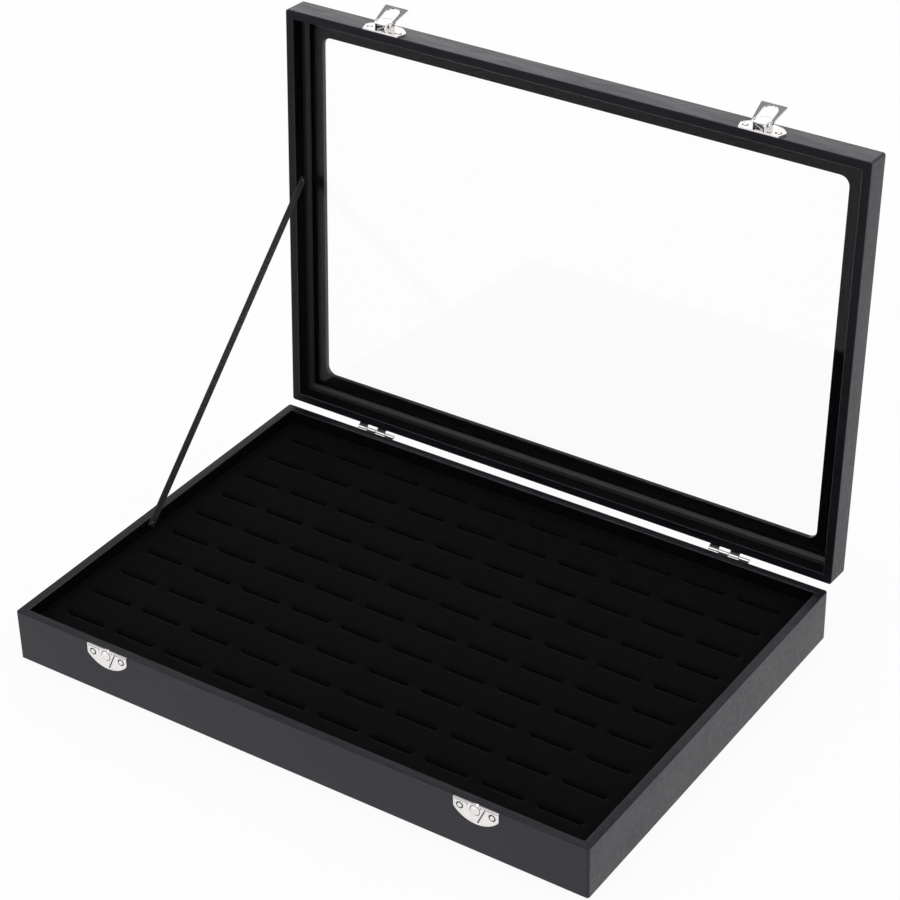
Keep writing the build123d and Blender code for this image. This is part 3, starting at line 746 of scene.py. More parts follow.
@dataclass
class RingPad:
    """Velvet pad of the tray: ten rows of ten slits whose lips roll in, over foam."""

    half_length: float = 169.97
    half_width: float = 115.47
    top: float = 23.5
    bottom: float = 5.9
    pitch_x: float = 32.5
    pitch_y: float = 21.9
    count: int = 10
    slit_half_length: float = 12.0
    slit_half_width: float = 0.5
    slit_depth: float = 11.0
    throat_depth: float = 1.0
    throat_share: float = 0.8
    lip: float = 1.2
    lip_past: float = 1.6
    lip_fade: float = 2.6
    lip_fall: float = 2.718
    crown: float = 0.22
    edge_roll: float = 0.8
    edge_reach: float = 2.6
    edge_power: float = 2.2
    flat_border: float = 5.4
    marks_x: Tuple[float, ...] = (0.0, 4.0, 8.0, 10.8, 11.5, 12.0, 12.7, 13.6, 14.8)
    marks_y: Tuple[float, ...] = (0.5, 0.75, 1.15, 1.7, 2.5, 3.7, 5.5, 8.0)
    marks_edge: Tuple[float, ...] = (0.0, 0.25, 0.7, 1.4, 2.6, 4.0)

    def rise(self, x: float, y: float) -> float:
        """Height of the velvet.

        Args:
            x, y: a place of the pad, in millimetres.

        Returns:
            The height there, in millimetres.
        """
        u, v = (
            (min(max(at, -pitch * self.count / 2), pitch * self.count / 2) + pitch * self.count / 2) % pitch - pitch / 2
            for at, pitch in ((x, self.pitch_x), (y, self.pitch_y)))
        run = min(max((self.slit_half_length + self.lip_past - abs(u)) / self.lip_fade, 0.0), 1.0)
        run = run * run * (3 - 2 * run)
        away = max(abs(v) - self.slit_half_width, 0.0)
        drop = self.lip * self.lip_fall ** -away * run
        swell = self.crown * (1 - (2 * abs(v) / self.pitch_y - 1) ** 2)
        wall = min(self.half_length - abs(x), self.half_width - abs(y))
        edge = self.edge_roll * max(1 - wall / self.edge_reach, 0.0) ** self.edge_power
        return self.top - self.crown - drop + (0.0 if wall < self.flat_border else swell) - edge

    @staticmethod
    def _lines(pitch: float, marks: Sequence[float]) -> List[float]:
        """Grid lines of one cell, both ways from its middle."""
        return sorted({s * m for m in marks for s in (-1, 1)} | {-pitch / 2, pitch / 2})

    def _cell(self) -> Piece:
        """One slit with its pocket and the velvet round it."""
        us, vs = self._lines(self.pitch_x, self.marks_x), self._lines(self.pitch_y, self.marks_y)
        loft = Loft()
        rows = [loft.ring([(u, v, self.rise(u + self.pitch_x / 2, v + self.pitch_y / 2)) for u in us]) for v in vs]
        first, last = us.index(-self.slit_half_length), us.index(self.slit_half_length)
        low, high = vs.index(-self.slit_half_width), vs.index(self.slit_half_width)
        loft.grid(rows, range(first, last), range(low, high))
        mouth = rows[low][first:last + 1] + rows[high][first:last + 1][::-1]
        at = [loft.points[n] for n in mouth]
        throat = loft.ring([(x, y * self.throat_share, z - self.throat_depth) for x, y, z in at])
        deep = loft.ring([(x, y, self.top - self.slit_depth) for x, y, z in at])
        loft.bridge((mouth, throat, deep))
        loft.faces.append(tuple(deep))
        return link("slit_cell", face_outwards(loft.mesh("slit_cell"), skin=True))

    def _spread(self, half: float, pitch: float, marks: Sequence[float]) -> Tuple[List[float], int]:
        """Grid lines across the whole pad.

        Args:
            half: half the pad's size.
            pitch: one cell's size.
            marks: the grid lines of half a cell.

        Returns:
            The lines, and how many of them lie outside the slits at each end.
        """
        field = pitch * self.count / 2
        edge = [half - s for s in self.marks_edge if half - s > field + 0.3]
        inner = [pitch * (c + 0.5) - field + m for c in range(self.count) for m in self._lines(pitch, marks)[:-1]]
        return [-e for e in edge] + inner + [field] + edge[::-1], len(edge)

    def _border(self) -> Piece:
        """The pad outside the slits: its rolled edge, its sides and its underside."""
        xs, nx = self._spread(self.half_length, self.pitch_x, self.marks_x)
        ys, ny = self._spread(self.half_width, self.pitch_y, self.marks_y)
        loft = Loft()
        rows = [loft.ring([(x, y, self.rise(x, y)) for x in xs]) for y in ys]
        loft.grid(rows, range(nx, len(xs) - 1 - nx), range(ny, len(ys) - 1 - ny))
        rim = rows[0] + [r[-1] for r in rows[1:]] + rows[-1][-2::-1] + [r[0] for r in rows[-2:0:-1]]
        foot = loft.ring([(loft.points[n][0], loft.points[n][1], self.bottom) for n in rim])
        loft.bridge((foot, rim))
        loft.faces.append(tuple(foot[::-1]))
        return link("pad_border", loft.mesh("pad_border"))

    def _tree(self) -> Tree:
        """Sets a cell at every place of a grid and welds them to the border."""
        g, i, out = nodes_tree("slit_field", {
            "Cell": "NodeSocketObject", "Columns": 10, "Rows": 10, "Pitch X": 0.0325, "Pitch Y": 0.0219,
            "Velvet": "NodeSocketMaterial"})
        wide, deep = (
            g.math("MULTIPLY", i[pitch], g.math("SUBTRACT", i[count], 1.0))
            for pitch, count in (("Pitch X", "Columns"), ("Pitch Y", "Rows")))
        grid = g.add("GeometryNodeMeshGrid", {
            "Size X": wide, "Size Y": deep, "Vertices X": i["Columns"], "Vertices Y": i["Rows"]})
        cell = g.add("GeometryNodeObjectInfo", {"Object": i["Cell"]})
        cells = g.copies(grid.outputs[0], cell.outputs["Geometry"])
        joined = g.add("GeometryNodeJoinGeometry", {0: i["Geometry"]})
        g.fill(joined, {0: cells})
        welded = g.add("GeometryNodeMergeByDistance", {"Geometry": joined.outputs[0], "Distance": 0.00002})
        done = g.add("GeometryNodeSetMaterial", {"Geometry": welded.outputs[0], "Material": i["Velvet"]})
        g.fill(out, {0: done.outputs[0]})
        return g.tree

    def build(self) -> None:
        """Makes the pad and gives it its velvet."""
        cell = self._cell()
        pad = grown(self._border(), self._tree(), {
            "Cell": cell, "Columns": self.count, "Rows": self.count, "Pitch X": self.pitch_x * MM,
            "Pitch Y": self.pitch_y * MM, "Velvet": FINISHES[Finish.VELVET]}, "ring_pad")
        bpy.data.objects.remove(cell)
        smooth(pad.data, 55.0)
        dress(pad, Finish.VELVET)
        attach(pad, Body.BASE.value)
        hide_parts("ring_pad_velvet", "ring_pad_foam")
        log.info("ring_pad: %d faces", len(pad.data.polygons))


@dataclass
class RibbonStay:
    """Ribbon that stops the lid: taut between its two tacks, on the left side's inner face."""

    inner_x: float = -170.0
    gap: float = 0.05
    width: float = 5.8
    thickness: float = 0.7
    tail: float = 1.6
    steps: int = 64
    waver: float = 0.012
    waver_rate: float = 0.05

    def build(self) -> None:
        """Makes the ribbon, straight between its two tacks."""
        _, upper_y, upper_z = SWING.opened(0.0, *PLACES.upper_tack)
        low, high = Vector(PLACES.lower_tack), Vector((upper_y / MM, upper_z / MM))
        length = (high - low).length
        along = (high - low).normalized()
        across = Vector((-along.y, along.x))
        half, thick = self.width / 2, self.thickness
        section = [
            (-half, 0.25 * thick), (-half + 0.15, 0.0), (0.0, 0.0), (half - 0.15, 0.0), (half, 0.25 * thick),
            (half, 0.75 * thick), (half - 0.25, 0.96 * thick), (0.0, thick), (-half + 0.25, 0.96 * thick),
            (-half, 0.75 * thick)]
        loft = Loft()
        rings: List[List[int]] = []
        places: List[Pair] = []
        for k in range(self.steps + 1):
            run = -self.tail + (length + 2 * self.tail) * k / self.steps
            lean = 1.0 + self.waver * sin(run * self.waver_rate)
            middle = low + along * run
            rings.append(loft.ring([
                (self.inner_x + self.gap + t, *(middle + across * (w * lean))) for w, t in section]))
            places += [(w, run) for w, _ in section]
        loft.bridge(rings)
        loft.cap(rings)
        mesh = loft.mesh("stay_ribbon_woven")
        uv = mesh.uv_layers.new(name="run")
        for corner in mesh.loops:
            uv.data[corner.index].uv = places[corner.vertex_index]
        smooth(face_outwards(mesh), 60.0)
        ribbon = dress(link("stay_ribbon_woven", mesh), Finish.RIBBON)
        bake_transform(ribbon)
        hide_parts("stay_ribbon")
        log.info("stay_ribbon_woven: %.1f mm between tacks", length)


@dataclass(frozen=True)
class Head:
    """A fastener's domed head, in millimetres."""

    radius: float
    height: float
    slot: float = 0.0


@dataclass
class Fasteners:
    """Domed nails, slotted screws, tacks and flat black rings of painted shade under the nails, all from one tree."""

    nail: Head = Head(1.3, 0.62)
    # A flat black ring under each nail head, a touch wider than it: painted shade round the nail.
    shade_ring: Head = Head(2.05, 0.12)
    screw: Head = Head(1.35, 0.42, 0.32)
    tack: Head = Head(1.5, 0.75)
    nail_x: float = 9.2
    catch_nail_z: float = 26.2
    latch_nail_z: float = 35.0
    screw_x: float = 7.5
    base_screw_z: float = 24.1
    lid_screw_z: float = 36.1
    spin: float = 0.9
    seed: int = 4

    def _tree(self) -> Tree:
        """A domed head, slotted if asked, on every point, facing where the point says."""
        g, i, out = nodes_tree("domed_heads", {
            "Radius": 0.0015, "Height": 0.0006, "Slot": 0.0, "Seed": self.seed, "Metal": "NodeSocketMaterial"})
        ball = g.add("GeometryNodeMeshUVSphere", {"Segments": 32, "Rings": 16, "Radius": 1.0})
        scale = g.add("ShaderNodeCombineXYZ", {0: i["Radius"], 1: i["Radius"], 2: i["Height"]})
        dome = g.add("GeometryNodeTransform", {"Geometry": ball.outputs[0], "Scale": scale.outputs[0]})
        size = g.add("ShaderNodeCombineXYZ", {
            0: g.math("MULTIPLY", i["Radius"], 3.0), 1: g.math("MAXIMUM", i["Slot"], 0.00001),
            2: g.math("MULTIPLY", i["Height"], 0.9)})
        up = g.add("ShaderNodeCombineXYZ", {2: i["Height"]})
        bar = g.add("GeometryNodeMeshCube", {"Size": size.outputs[0]})
        raised = g.add("GeometryNodeTransform", {"Geometry": bar.outputs[0], "Translation": up.outputs[0]})
        cut = g.add("GeometryNodeMeshBoolean", operation="DIFFERENCE", solver="EXACT")
        g.fill(cut, {"Mesh 1": dome.outputs[0], "Mesh 2": raised.outputs[0]})
        slotted = g.add("FunctionNodeCompare", {0: i["Slot"], 1: 0.00002}, data_type="FLOAT", operation="GREATER_THAN")
        head = g.add("GeometryNodeSwitch", {
            "Switch": slotted.outputs[0], "False": dome.outputs[0], "True": cut.outputs[0]}, input_type="GEOMETRY")
        facing = g.add("GeometryNodeInputNamedAttribute", {"Name": "facing"}, data_type="FLOAT_VECTOR")
        turn = g.add("FunctionNodeAlignRotationToVector", {"Vector": facing.outputs[0]}, axis="Z")
        chance = g.add("FunctionNodeRandomValue", {2: -self.spin, 3: self.spin, "Seed": i["Seed"]}, data_type="FLOAT")
        spin = g.add("ShaderNodeCombineXYZ", {2: chance.outputs[1]})
        euler = g.add("FunctionNodeEulerToRotation", {0: spin.outputs[0]})
        turned = g.add("FunctionNodeRotateRotation", {
            "Rotation": turn.outputs[0], "Rotate By": euler.outputs[0]}, rotation_space="LOCAL")
        points = g.add("GeometryNodeMeshToPoints", {"Mesh": i["Geometry"]})
        heads = g.copies(points.outputs[0], head.outputs[0], Rotation=turned.outputs[0])
        done = g.add("GeometryNodeSetMaterial", {"Geometry": heads, "Material": i["Metal"]})
        g.fill(out, {0: done.outputs[0]})
        return g.tree

    def _set(self, tree: Tree, name: str, body: Body, finish: Finish, head: Head,
             places: Sequence[Point], facing: Vector) -> Piece:
        """One set of fasteners on one body.

        Args:
            tree: the fasteners' tree.
            name: the piece's name.
            body: the body that it rides on.
            finish: the metal.
            head: the sizes of each head.
            places: where each head sits, in metres.
            facing: the way that they face.

        Returns:
            The finished piece.
        """
        mesh = bpy.data.meshes.new(name + "_places")
        mesh.from_pydata(places, [], [])
        mesh.attributes.new("facing", "FLOAT_VECTOR", "POINT").data.foreach_set("vector", list(facing) * len(places))
        piece = grown(link(name + "_places", mesh), tree, {
            "Radius": head.radius * MM, "Height": head.height * MM, "Slot": head.slot * MM, "Seed": self.seed,
            "Metal": FINISHES[finish]}, name)
        smooth(piece.data, 40.0)
        dress(piece, finish)
        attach(piece, body.value)
        log.info("%s: %d heads", name, len(places))
        return piece

    @staticmethod
    def _four(x: float, away: float, y: float, z: float, on_lid: bool) -> List[Point]:
        """Four places in a row: both sides of both fittings at x, in metres."""
        places = [(side * x + end * away, y, z) for side in (-1, 1) for end in (-1, 1)]
        return [SWING.opened(*place) if on_lid else tuple(c * MM for c in place) for place in places]

    def build(self) -> None:
        """Makes every fastener of the box."""
        tree = self._tree()
        for name, body, z in (("catch", Body.BASE, self.catch_nail_z), ("latch", Body.LID, self.latch_nail_z)):
            on_lid = body is Body.LID
            places = self._four(PLACES.latch_x, self.nail_x, PLACES.plate_y, z, on_lid)
            facing = SWING.turned(-1, 0) if on_lid else Vector((0, -1, 0))
            self._set(tree, f"{name}_nails", body, Finish.NICKEL, self.nail, places, facing)
            # black rings under the nails paint the shade round their heads
            self._set(tree, f"{name}_nail_seats", body, Finish.BLACK_METAL, self.shade_ring, places, facing)
        for body, z in ((Body.BASE, self.base_screw_z), (Body.LID, self.lid_screw_z)):
            on_lid = body is Body.LID
            places = self._four(PLACES.hinge_x, self.screw_x, PLACES.leaf_y, z, on_lid)
            facing = SWING.turned(1, 0) if on_lid else Vector((0, 1, 0))
            self._set(tree, f"hinge_{body.value}_screws", body, Finish.NICKEL, self.screw, places, facing)
        low = tuple(c * MM for c in (PLACES.tack_x, *PLACES.lower_tack))
        high = SWING.opened(PLACES.tack_x, *PLACES.upper_tack)
        for name, body, place in (("lower", Body.BASE, low), ("upper", Body.LID, high)):
            facing = Vector((1, 0, 0))
            piece = self._set(tree, f"stay_tack_{name}", body, Finish.BLACK_METAL, self.tack, [place], facing)
            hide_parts(f"stay_{name}_tack")


@dataclass
class PlateRims:
    """Rolled rims of the catch plates and the latch plates, and black half-rounds that paint shade lines on the catch
    plates, in the closed box's frame.
    """

    radius: float = 0.32
    bow_steps: int = 28
    half: float = 12.9
    shoulder: float = 24.9
    catch_top: float = 30.2
    catch_low: float = 18.5
    foot: float = 31.2
    foot_half: float = 11.2
    latch_shoulder: float = 36.5
    latch_high: float = 43.8
    bridge_half: float = 4.1
    dome_z: float = 27.4
    dome_foot: float = 2.82
    dome_step: float = 0.8
    # Radius of the black ring round the dome's foot, a painted shade line.
    crease: float = 0.17
    # Black half-rounds beside the wedge and under the top rim, painted shade lines: name, radius and the two ends of
    # each.
    shade_lines: Tuple[Tuple[str, float, Pair, Pair], ...] = (
        ("fold_right", 0.30, (5.1, 28.6), (1.1, 19.7)), ("fold_left", 0.22, (-5.1, 28.6), (-1.1, 19.7)),
        ("groove_right", 0.17, (4.4, 29.3), (12.2, 29.3)), ("groove_left", 0.17, (-12.2, 29.3), (-4.4, 29.3)))

    def bow(self, z_side: float, z_mid: float) -> List[Pair]:
        """The plate's bow, set in by the rim's radius.

        Args:
            z_side, z_mid: its height at its ends and at its middle, in millimetres.

        Returns:
            Its points, from its right end to its left.
        """
        up = 1 if z_mid > z_side else -1
        half = self.half - self.radius
        tall = z_mid - z_side - self.radius * up
        size = (half * half + tall * tall) / (2 * abs(tall))
        centre = z_side + tall - size * up
        end = atan2(z_side - centre, half)
        sweep = 2 * (radians(90.0 * up) - end)
        turns = [end + sweep * k / self.bow_steps for k in range(self.bow_steps + 1)]
        return [(size * cos(turn), centre + size * sin(turn)) for turn in turns]

    def roll(self, x: float, path: Sequence[Pair], name: str, radius: float, finish: Finish = Finish.NICKEL,
             body: Body = Body.BASE, closed: bool = False, raised: float = 0.0) -> None:
        """Sweeps a half-sunk round along a path on the plate's face.

        Args:
            x: the plate's middle.
            path: the round's centre line, across and up from the plate's middle.
            name: the piece's name.
            radius: the round's radius, in millimetres.
            finish: its metal.
            body: the body that it rides on.
            closed: whether it joins its own start.
            raised: how far it lies before the plate's face, in millimetres.
        """
        loft = Loft()
        rings: List[List[int]] = []
        count = len(path)
        for k, (px, pz) in enumerate(path):
            ahead = path[(k + 1) % count] if closed or k < count - 1 else path[k]
            behind = path[k - 1] if closed or k else path[k]
            side = Vector((ahead[1] - behind[1], behind[0] - ahead[0])).normalized()
            ring = []
            for step in range(8):
                out, deep = radius * cos(radians(45.0 * step)), radius * sin(radians(45.0 * step))
                point = (x + px + side.x * out, PLACES.plate_y - raised - deep, pz + side.y * out)
                ring.append(tuple(c / MM for c in SWING.opened(*point)) if body is Body.LID else point)
            rings.append(loft.ring(ring))
        loft.bridge(rings + rings[:1] if closed else rings)
        if not closed:
            loft.cap(rings)
        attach(loft.piece(name, 60.0, finish), body.value)

    def creases(self, side: str, x: float) -> None:
        """Paints shade lines on one catch plate in black half-rounds: beside its wedge, round its dome and under its
        top rim.

        Args:
            side: the plate's side of the box.
            x: its middle, in millimetres.
        """
        for name, radius, *path in self.shade_lines:
            self.roll(x, path, f"catch_{name}_{side}", radius, Finish.BLACK_METAL)
        turns = [radians(10.0 * k) for k in range(36)]
        ring = [(self.dome_foot * cos(turn), self.dome_z + self.dome_foot * sin(turn)) for turn in turns]
        self.roll(
            x, ring, f"catch_foot_{side}", self.crease, Finish.BLACK_METAL, closed=True, raised=self.dome_step)

    def build(self) -> None:
        """Makes the rims of all four plates and the painted shade lines of the catch plates."""
        r = self.radius
        top, foot = self.catch_top - r, self.foot + r
        for side, x in PLACES.sides(PLACES.latch_x):
            catch = [(r - self.half, top), (self.half - r, top)] + self.bow(self.shoulder, self.catch_low)
            self.roll(x, catch, f"catch_rim_{side}", r, closed=True)
            self.creases(side, x)
            latch = [(self.bridge_half, foot), (self.foot_half - r, foot)]
            latch += self.bow(self.latch_shoulder, self.latch_high)
            latch += [(r - self.foot_half, foot), (-self.bridge_half, foot)]
            self.roll(x, latch, f"latch_rim_{side}", r, body=Body.LID)
        log.info("plate rims: four")


@dataclass
class Casework:
    """The covered boards of the tray and the lid, with what lines them."""

    crease: float = 50.0
    felt_crease: float = 35.0
    felt_bevel: float = 0.15
    inner_x: float = 170.2
    inner_y: float = 115.7
    inner_top: float = 43.2
    window_edge: float = 40.2
    rim_base: float = 30.0
    rim_lid: float = 31.4

    def line(self, piece: Piece, on_lid: bool) -> None:
        """Gives the inner faces of a covering a darker, matt cloth, and paints shade on its rim with a less shiny copy
        of the leatherette.

        Args:
            piece: the covering.
            on_lid: whether it is the open lid's.
        """
        piece.data.materials.append(DARK_INNER_CLOTH)
        piece.data.materials.append(LID_RIM_SHADE_LEATHERETTE if on_lid else RIM_SHADE_LEATHERETTE)
        for face in piece.data.polygons:
            place, normal = SWING.closed(face, on_lid)
            # inner faces take the darker, matt cloth
            inner_face = abs(normal.z) < ACROSS
            # rim faces take the less shiny copy, a painted shade
            rim = normal.z > ALONG and place.z > self.rim_base
            if on_lid:
                inner_face = inner_face and place.z < self.inner_top or normal.z < -ALONG and place.z > self.window_edge
                rim = normal.z < -ALONG and place.z < self.rim_lid
            if inner_face and abs(place.x) < self.inner_x and abs(place.y) < self.inner_y:
                face.material_index = 1
            elif rim:
                face.material_index = 2

    def build(self) -> None:
        """Makes the coverings and dresses the boards, the card and the felt."""
        nodes = frame["nodes"]
        base = dress(refined("base_cover", "base_leatherette", Body.BASE, self.crease), Finish.LEATHERETTE)
        lid = dress(refined("lid_cover", "lid_leatherette", Body.LID, self.crease), Finish.LEATHERETTE, LID_LEATHERETTE)
        self.line(base, False)
        self.line(lid, True)
        for side in ("front", "back", "left", "right"):
            dress(nodes[f"base_{side}_wall"], Finish.BOARD)
            dress(nodes[f"lid_{side}_rail"], Finish.BOARD)
        dress(nodes["base_bottom_panel"], Finish.BOARD)
        dress(nodes["lid_window_board"], Finish.BOARD)
        dress(nodes["tray_board"], Finish.CARD)
        felt = refined("underside_felt", "underside_felt_sheet", Body.BASE, self.felt_crease, self.felt_bevel)
        dress(felt, Finish.FELT)
        log.info("casework: coverings, boards, card and felt")


@dataclass
class Glazing:
    """The pane and the lacquered beads that hold it."""

    crease: float = 30.0
    bevel: float = 0.15
    clearance: float = 0.06

    def build(self) -> None:
        """Sets the pane a hair off what holds it, and softens the beads."""
        pane = dress(refined("lid_glass", "pane", Body.LID, self.crease), Finish.GLASS)
        through = SWING.turned(0.0, 1.0)
        middle = sum((v.co for v in pane.data.vertices), Vector()) / len(pane.data.vertices)
        for vertex in pane.data.vertices:
            side = 1.0 if (vertex.co - middle).dot(through) > 0.0 else -1.0
            vertex.co -= through * (side * self.clearance * MM)
        for side in ("front", "back", "left", "right"):
            dress(refined(f"glass_bead_{side}", f"bead_{side}", Body.LID, self.crease, self.bevel), Finish.BEAD)
        log.info("glazing: pane and four beads")


@dataclass
class Metalwork:
    """Hinges, catch plates, latch plates, springs and flaps."""

    sheet_bevel: float = 0.14
    fine_bevel: float = 0.07
    crease: float = 32.0
    spring_crease: float = 50.0
    leaf_crease: float = 55.0
    crank_y: float = 121.1
    crank_radius: float = 1.02
    bridge_hollow: Tuple[Point, Point] = ((-3.15, -125.45, 31.1), (3.15, -121.25, 40.0))

    def paint_shade(self, piece: Piece, on_lid: bool, shaded: Callable[[Vector, Vector], bool]) -> None:
        """Paints shade and dark reflection onto some faces of a plated piece, in a dark dull metal.

        Args:
            piece: the piece.
            on_lid: whether it is on the open lid.
            shaded: tells from a face's place and normal in the closed box whether it takes the painted shade.
        """
        piece.data.materials.append(PAINTED_SHADE_PLATE)
        for face in piece.data.polygons:
            if shaded(*SWING.closed(face, on_lid)):
                face.material_index = 1

    def in_bridge(self, x: float) -> Callable[[Vector, Vector], bool]:
        """The test for the inner faces of the bridge at x, which take painted shade."""
        low, high = (Vector(corner) + Vector((x, 0.0, 0.0)) for corner in self.bridge_hollow)
        return lambda place, normal: (
            all(a <= p <= b for a, p, b in zip(low, place, high)) and (normal.y > ALONG or abs(normal.x) > ALONG))

    def on_crank(self, place: Vector, normal: Vector) -> bool:
        """The test for the bent fingers between a hinge's leaf and its knuckles, which take a painted dark reflection.
        """
        away = Vector((place.y - SWING.y, place.z - SWING.z)).length
        return place.y > self.crank_y and abs(normal.x) < ALONG and away > self.crank_radius

    def build(self) -> None:
        """Softens every metal piece and gives it its plate or enamel, with painted shade in the bridges' hollows and on
        the hinge leaves' fingers.
        """
        sheet, fine = (self.crease, self.sheet_bevel), (self.crease, self.fine_bevel)
        for (side, x), flap in zip(PLACES.sides(PLACES.latch_x), (Body.FLAP_LEFT, Body.FLAP_RIGHT)):
            dress(refined(f"catch_plate_{side}", f"catch_{side}", Body.BASE, *sheet), Finish.NICKEL)
            plate = dress(refined(f"latch_plate_{side}", f"latch_bridge_{side}", Body.LID, *sheet), Finish.NICKEL)
            # the bridge's hollow takes painted shade in dark dull metal
            self.paint_shade(plate, True, self.in_bridge(x))
            dress(refined(f"latch_flap_{side}", f"flap_sheet_{side}", flap, *sheet), Finish.NICKEL)
            dress(refined(f"latch_pin_{side}", f"flap_pin_{side}", flap, *fine), Finish.NICKEL)
            dress(refined(f"latch_spring_{side}", f"spring_{side}", Body.LID, self.spring_crease, self.fine_bevel),
                  Finish.SPRING)
            for body in (Body.BASE, Body.LID):
                leaf = refined(f"hinge_{side}_{body.value}_leaf", f"leaf_{body.value}_{side}", body,
                               self.leaf_crease, self.fine_bevel)
                # the bent fingers of each leaf take a painted dark reflection in dull metal
                self.paint_shade(dress(leaf, Finish.NICKEL), body is Body.LID, self.on_crank)
            dress(refined(f"hinge_{side}_pin", f"pin_{side}", Body.BASE, *fine), Finish.NICKEL)
        log.info("metalwork: latches and hinges")


@dataclass
class Rounds:
    """Smooth knuckles and domes over the hinges' and the catch plates' coarser ones."""

    half: float = 12.2
    pitch: float = 6.2
    length: float = 5.8
    knuckle: float = 1.005
    lips: Tuple[Pair, ...] = (
        (0.0, 0.56), (0.0, 0.90), (0.02, 0.97), (0.07, 1.0), (0.93, 1.0), (0.98, 0.97), (1.0, 0.90), (1.0, 0.56))
    dome_z: float = 27.4
    dome: float = 3.2
    dome_start: float = 15.0
    dome_sweep: float = 73.875
    dome_steps: int = 12
    sides: int = 48
    crease: float = 50.0

    def circle(self, radius: float, way: int = 1) -> List[Pair]:
        """Points of a circle about nothing; a way of -1 runs it backwards."""
        turns = [radians(way * 360.0 * k / self.sides) for k in range(self.sides)]
        return [(radius * cos(turn), radius * sin(turn)) for turn in turns]

    def knuckle_round(self, x: float, name: str) -> Piece:
        """One knuckle, with a rounded lip at both ends.

        Args:
            x: where it starts, in millimetres.
            name: the piece's name.

        Returns:
            The knuckle.
        """
        loft = Loft()
        rings = [
            loft.ring([
                (x + along * self.length, SWING.y + y, SWING.z + z) for y, z in self.circle(self.knuckle * size)])
            for along, size in self.lips]
        loft.bridge(rings + rings[:1])
        return loft.piece(name, self.crease, Finish.NICKEL)

    def dome_round(self, x: float, name: str) -> Piece:
        """One pressed dome, closed by a flat behind the plate's face.

        Args:
            x: its middle, in millimetres.
            name: the piece's name.

        Returns:
            The dome.
        """
        loft = Loft()
        rings = []
        for step in range(self.dome_steps + 1):
            rise = radians(self.dome_start + self.dome_sweep * step / self.dome_steps)
            y = PLACES.wall_y - self.dome * sin(rise)
            ring = self.circle(self.dome * cos(rise), -1)
            rings.append(loft.ring([(x + dx, y, self.dome_z + dz) for dx, dz in ring]))
        loft.bridge(rings)
        loft.cap(rings)
        return loft.piece(name, self.crease, Finish.NICKEL)

    def build(self) -> None:
        """Makes eight knuckles and two domes."""
        for (side, latch_x), (_, hinge_x) in zip(PLACES.sides(PLACES.latch_x), PLACES.sides(PLACES.hinge_x)):
            for k in range(4):
                body = Body.BASE if k % 2 else Body.LID
                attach(self.knuckle_round(hinge_x - self.half + k * self.pitch, f"knuckle_{side}_{k}"), body.value)
            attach(self.dome_round(latch_x, f"catch_dome_{side}"), Body.BASE.value)
        log.info("rounds: eight knuckles, two domes")


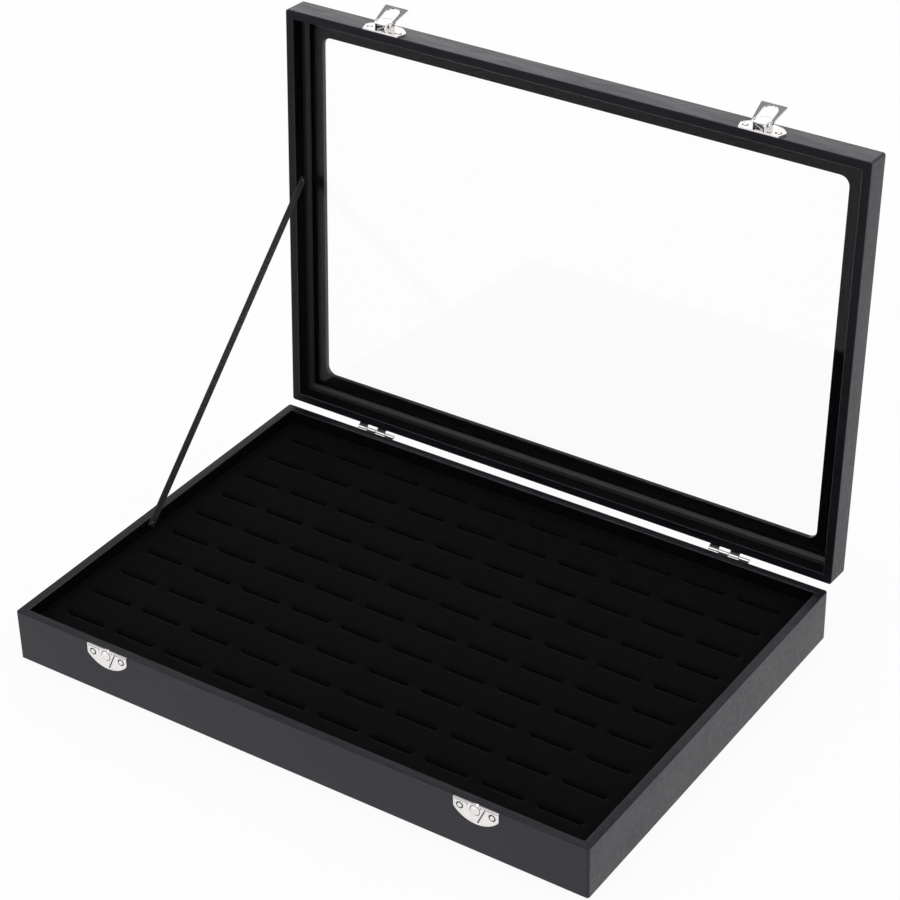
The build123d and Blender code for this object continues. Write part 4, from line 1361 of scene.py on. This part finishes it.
@dataclass
class Studio:
    """Plain pale floor, soft lamps and the camera, whose sizes are in millimetres and pixels."""

    focal: float = 2724.607
    frame_width: float = 900.0
    sensor: float = 36.0
    azimuth: float = 34.389
    elevation: float = 32.957
    roll: float = -1.333
    distance: float = 1441.58
    shift: Pair = (-14.104, -104.555)
    floor_half: float = 4.0
    floor_drop: float = 0.0002
    floor_grey: float = 0.9
    floor_glow: float = 1.03
    floor_share: float = 0.9
    fill: float = 0.5
    dark_side: Point = (-0.463, 0.405, 0.788)
    dark_edge: Pair = (0.925, 0.975)
    dark_level: float = 0.30

    def camera(self) -> None:
        """Sets the camera where the photograph's was."""
        a, e, r = radians(self.azimuth), radians(self.elevation), radians(self.roll)
        back = Vector((sin(a) * cos(e), -cos(a) * cos(e), sin(e)))
        right = (-back).cross(Vector((0, 0, 1))).normalized()
        up = right.cross(-back)
        x = right * cos(r) + up * sin(r)
        y = -right * sin(r) + up * cos(r)
        place = (back * self.distance - x * self.shift[0] - y * self.shift[1]) * MM
        lens = bpy.data.cameras.new("camera")
        lens.sensor_width = self.sensor
        lens.lens = self.focal / self.frame_width * self.sensor
        lens.clip_start, lens.clip_end = 0.01, 50.0
        view = link("camera", lens)
        view.matrix_world = Matrix((*zip(x, y, back, place), (0, 0, 0, 1)))
        bpy.context.scene.camera = view

    @staticmethod
    def lamp(name: str, place: Point, aim: Point, size: Pair, watts: float) -> None:
        """Adds a soft box.

        Args:
            name: the lamp's name.
            place, aim: where it is and what it faces, in metres.
            size: its sides, in metres.
            watts: its power.
        """
        light = bpy.data.lights.new(name, "AREA")
        light.shape = "RECTANGLE"
        light.size, light.size_y = size
        light.energy = watts
        box = link(name, light)
        box.location = place
        box.rotation_euler = (Vector(aim) - Vector(place)).to_track_quat("-Z", "Y").to_euler()

    def floor(self) -> None:
        """Lays the floor, white to the camera with the object's soft shadow kept."""
        far = self.floor_half
        mesh = bpy.data.meshes.new("floor")
        mesh.from_pydata([(-far, -far, 0), (far, -far, 0), (far, far, 0), (-far, far, 0)], [], [(0, 1, 2, 3)])
        floor = link("floor", mesh)
        floor.location.z = -self.floor_drop
        material = bpy.data.materials.new("floor_white")
        material.use_nodes = True
        nodes = material.node_tree.nodes
        nodes.remove(nodes["Principled BSDF"])
        g = Graph(material.node_tree)
        matt = g.add("ShaderNodeBsdfDiffuse", {"Color": (self.floor_grey, self.floor_grey, self.floor_grey, 1)})
        glow = g.add("ShaderNodeEmission", {"Color": (1.0, 1.0, 1.0, 1), "Strength": self.floor_glow})
        path = g.add("ShaderNodeLightPath").outputs
        seen = g.math("MAXIMUM", path["Is Camera Ray"], g.math(
            "MAXIMUM", path["Is Glossy Ray"], path["Is Transmission Ray"]))
        share = g.math("MULTIPLY", seen, self.floor_share)
        mixed = g.add("ShaderNodeMixShader", {0: share, 1: matt.outputs[0], 2: glow.outputs[0]})
        g.fill(nodes["Material Output"], {"Surface": mixed.outputs[0]})
        floor.data.materials.append(material)

    def world(self) -> None:
        """Fills the room with even light, white but for one dark side that the metal reflects."""
        world = bpy.data.worlds.new("room")
        world.use_nodes = True
        bpy.context.scene.world = world
        g = Graph(world.node_tree)
        path = g.add("ShaderNodeLightPath").outputs
        seen = g.math("MAXIMUM", path["Is Camera Ray"], path["Is Transmission Ray"])
        way = g.add("ShaderNodeTexCoord").outputs["Generated"]
        near = g.add("ShaderNodeVectorMath", {0: way, 1: self.dark_side}, operation="DOT_PRODUCT").outputs["Value"]
        room = g.add("ShaderNodeMapRange", {
            "Value": near, "From Min": self.dark_edge[0], "From Max": self.dark_edge[1],
            "To Min": 1.0, "To Max": self.dark_level}).outputs[0]
        mirrored = g.math("MULTIPLY", path["Is Glossy Ray"], g.math("SUBTRACT", room, self.fill))
        around = g.math("ADD", mirrored, self.fill)
        g.fill(world.node_tree.nodes["Background"], {
            "Color": (1.0, 1.0, 1.0, 1.0), "Strength": g.math("MAXIMUM", around, seen)})

    def build(self) -> None:
        """Sets up the studio."""
        bpy.context.scene.view_settings.view_transform = "Standard"
        self.floor()
        self.world()
        self.camera()
        self.lamp("overhead", place=(0.15, 0.15, 1.5), aim=(0.0, 0.05, 0.05), size=(1.0, 0.7), watts=3.0)
        self.lamp("back_panel", place=(-0.43, 0.86, 0.57), aim=(0.0, 0.13, 0.27), size=(0.75, 0.30), watts=0.8)
        self.lamp("front_fill", place=(-0.8, -1.25, 1.1), aim=(0.0, 0.0, 0.1), size=(0.9, 0.45), watts=1.6)
        log.info("studio: floor, room, three lamps and camera")


def main() -> None:
    """Builds the dressed box and its studio."""
    for part in (Studio, Casework, RingPad, Glazing, Metalwork, PlateRims, Rounds, Fasteners, RibbonStay):
        part().build()


if __name__ == "__main__":
    main()
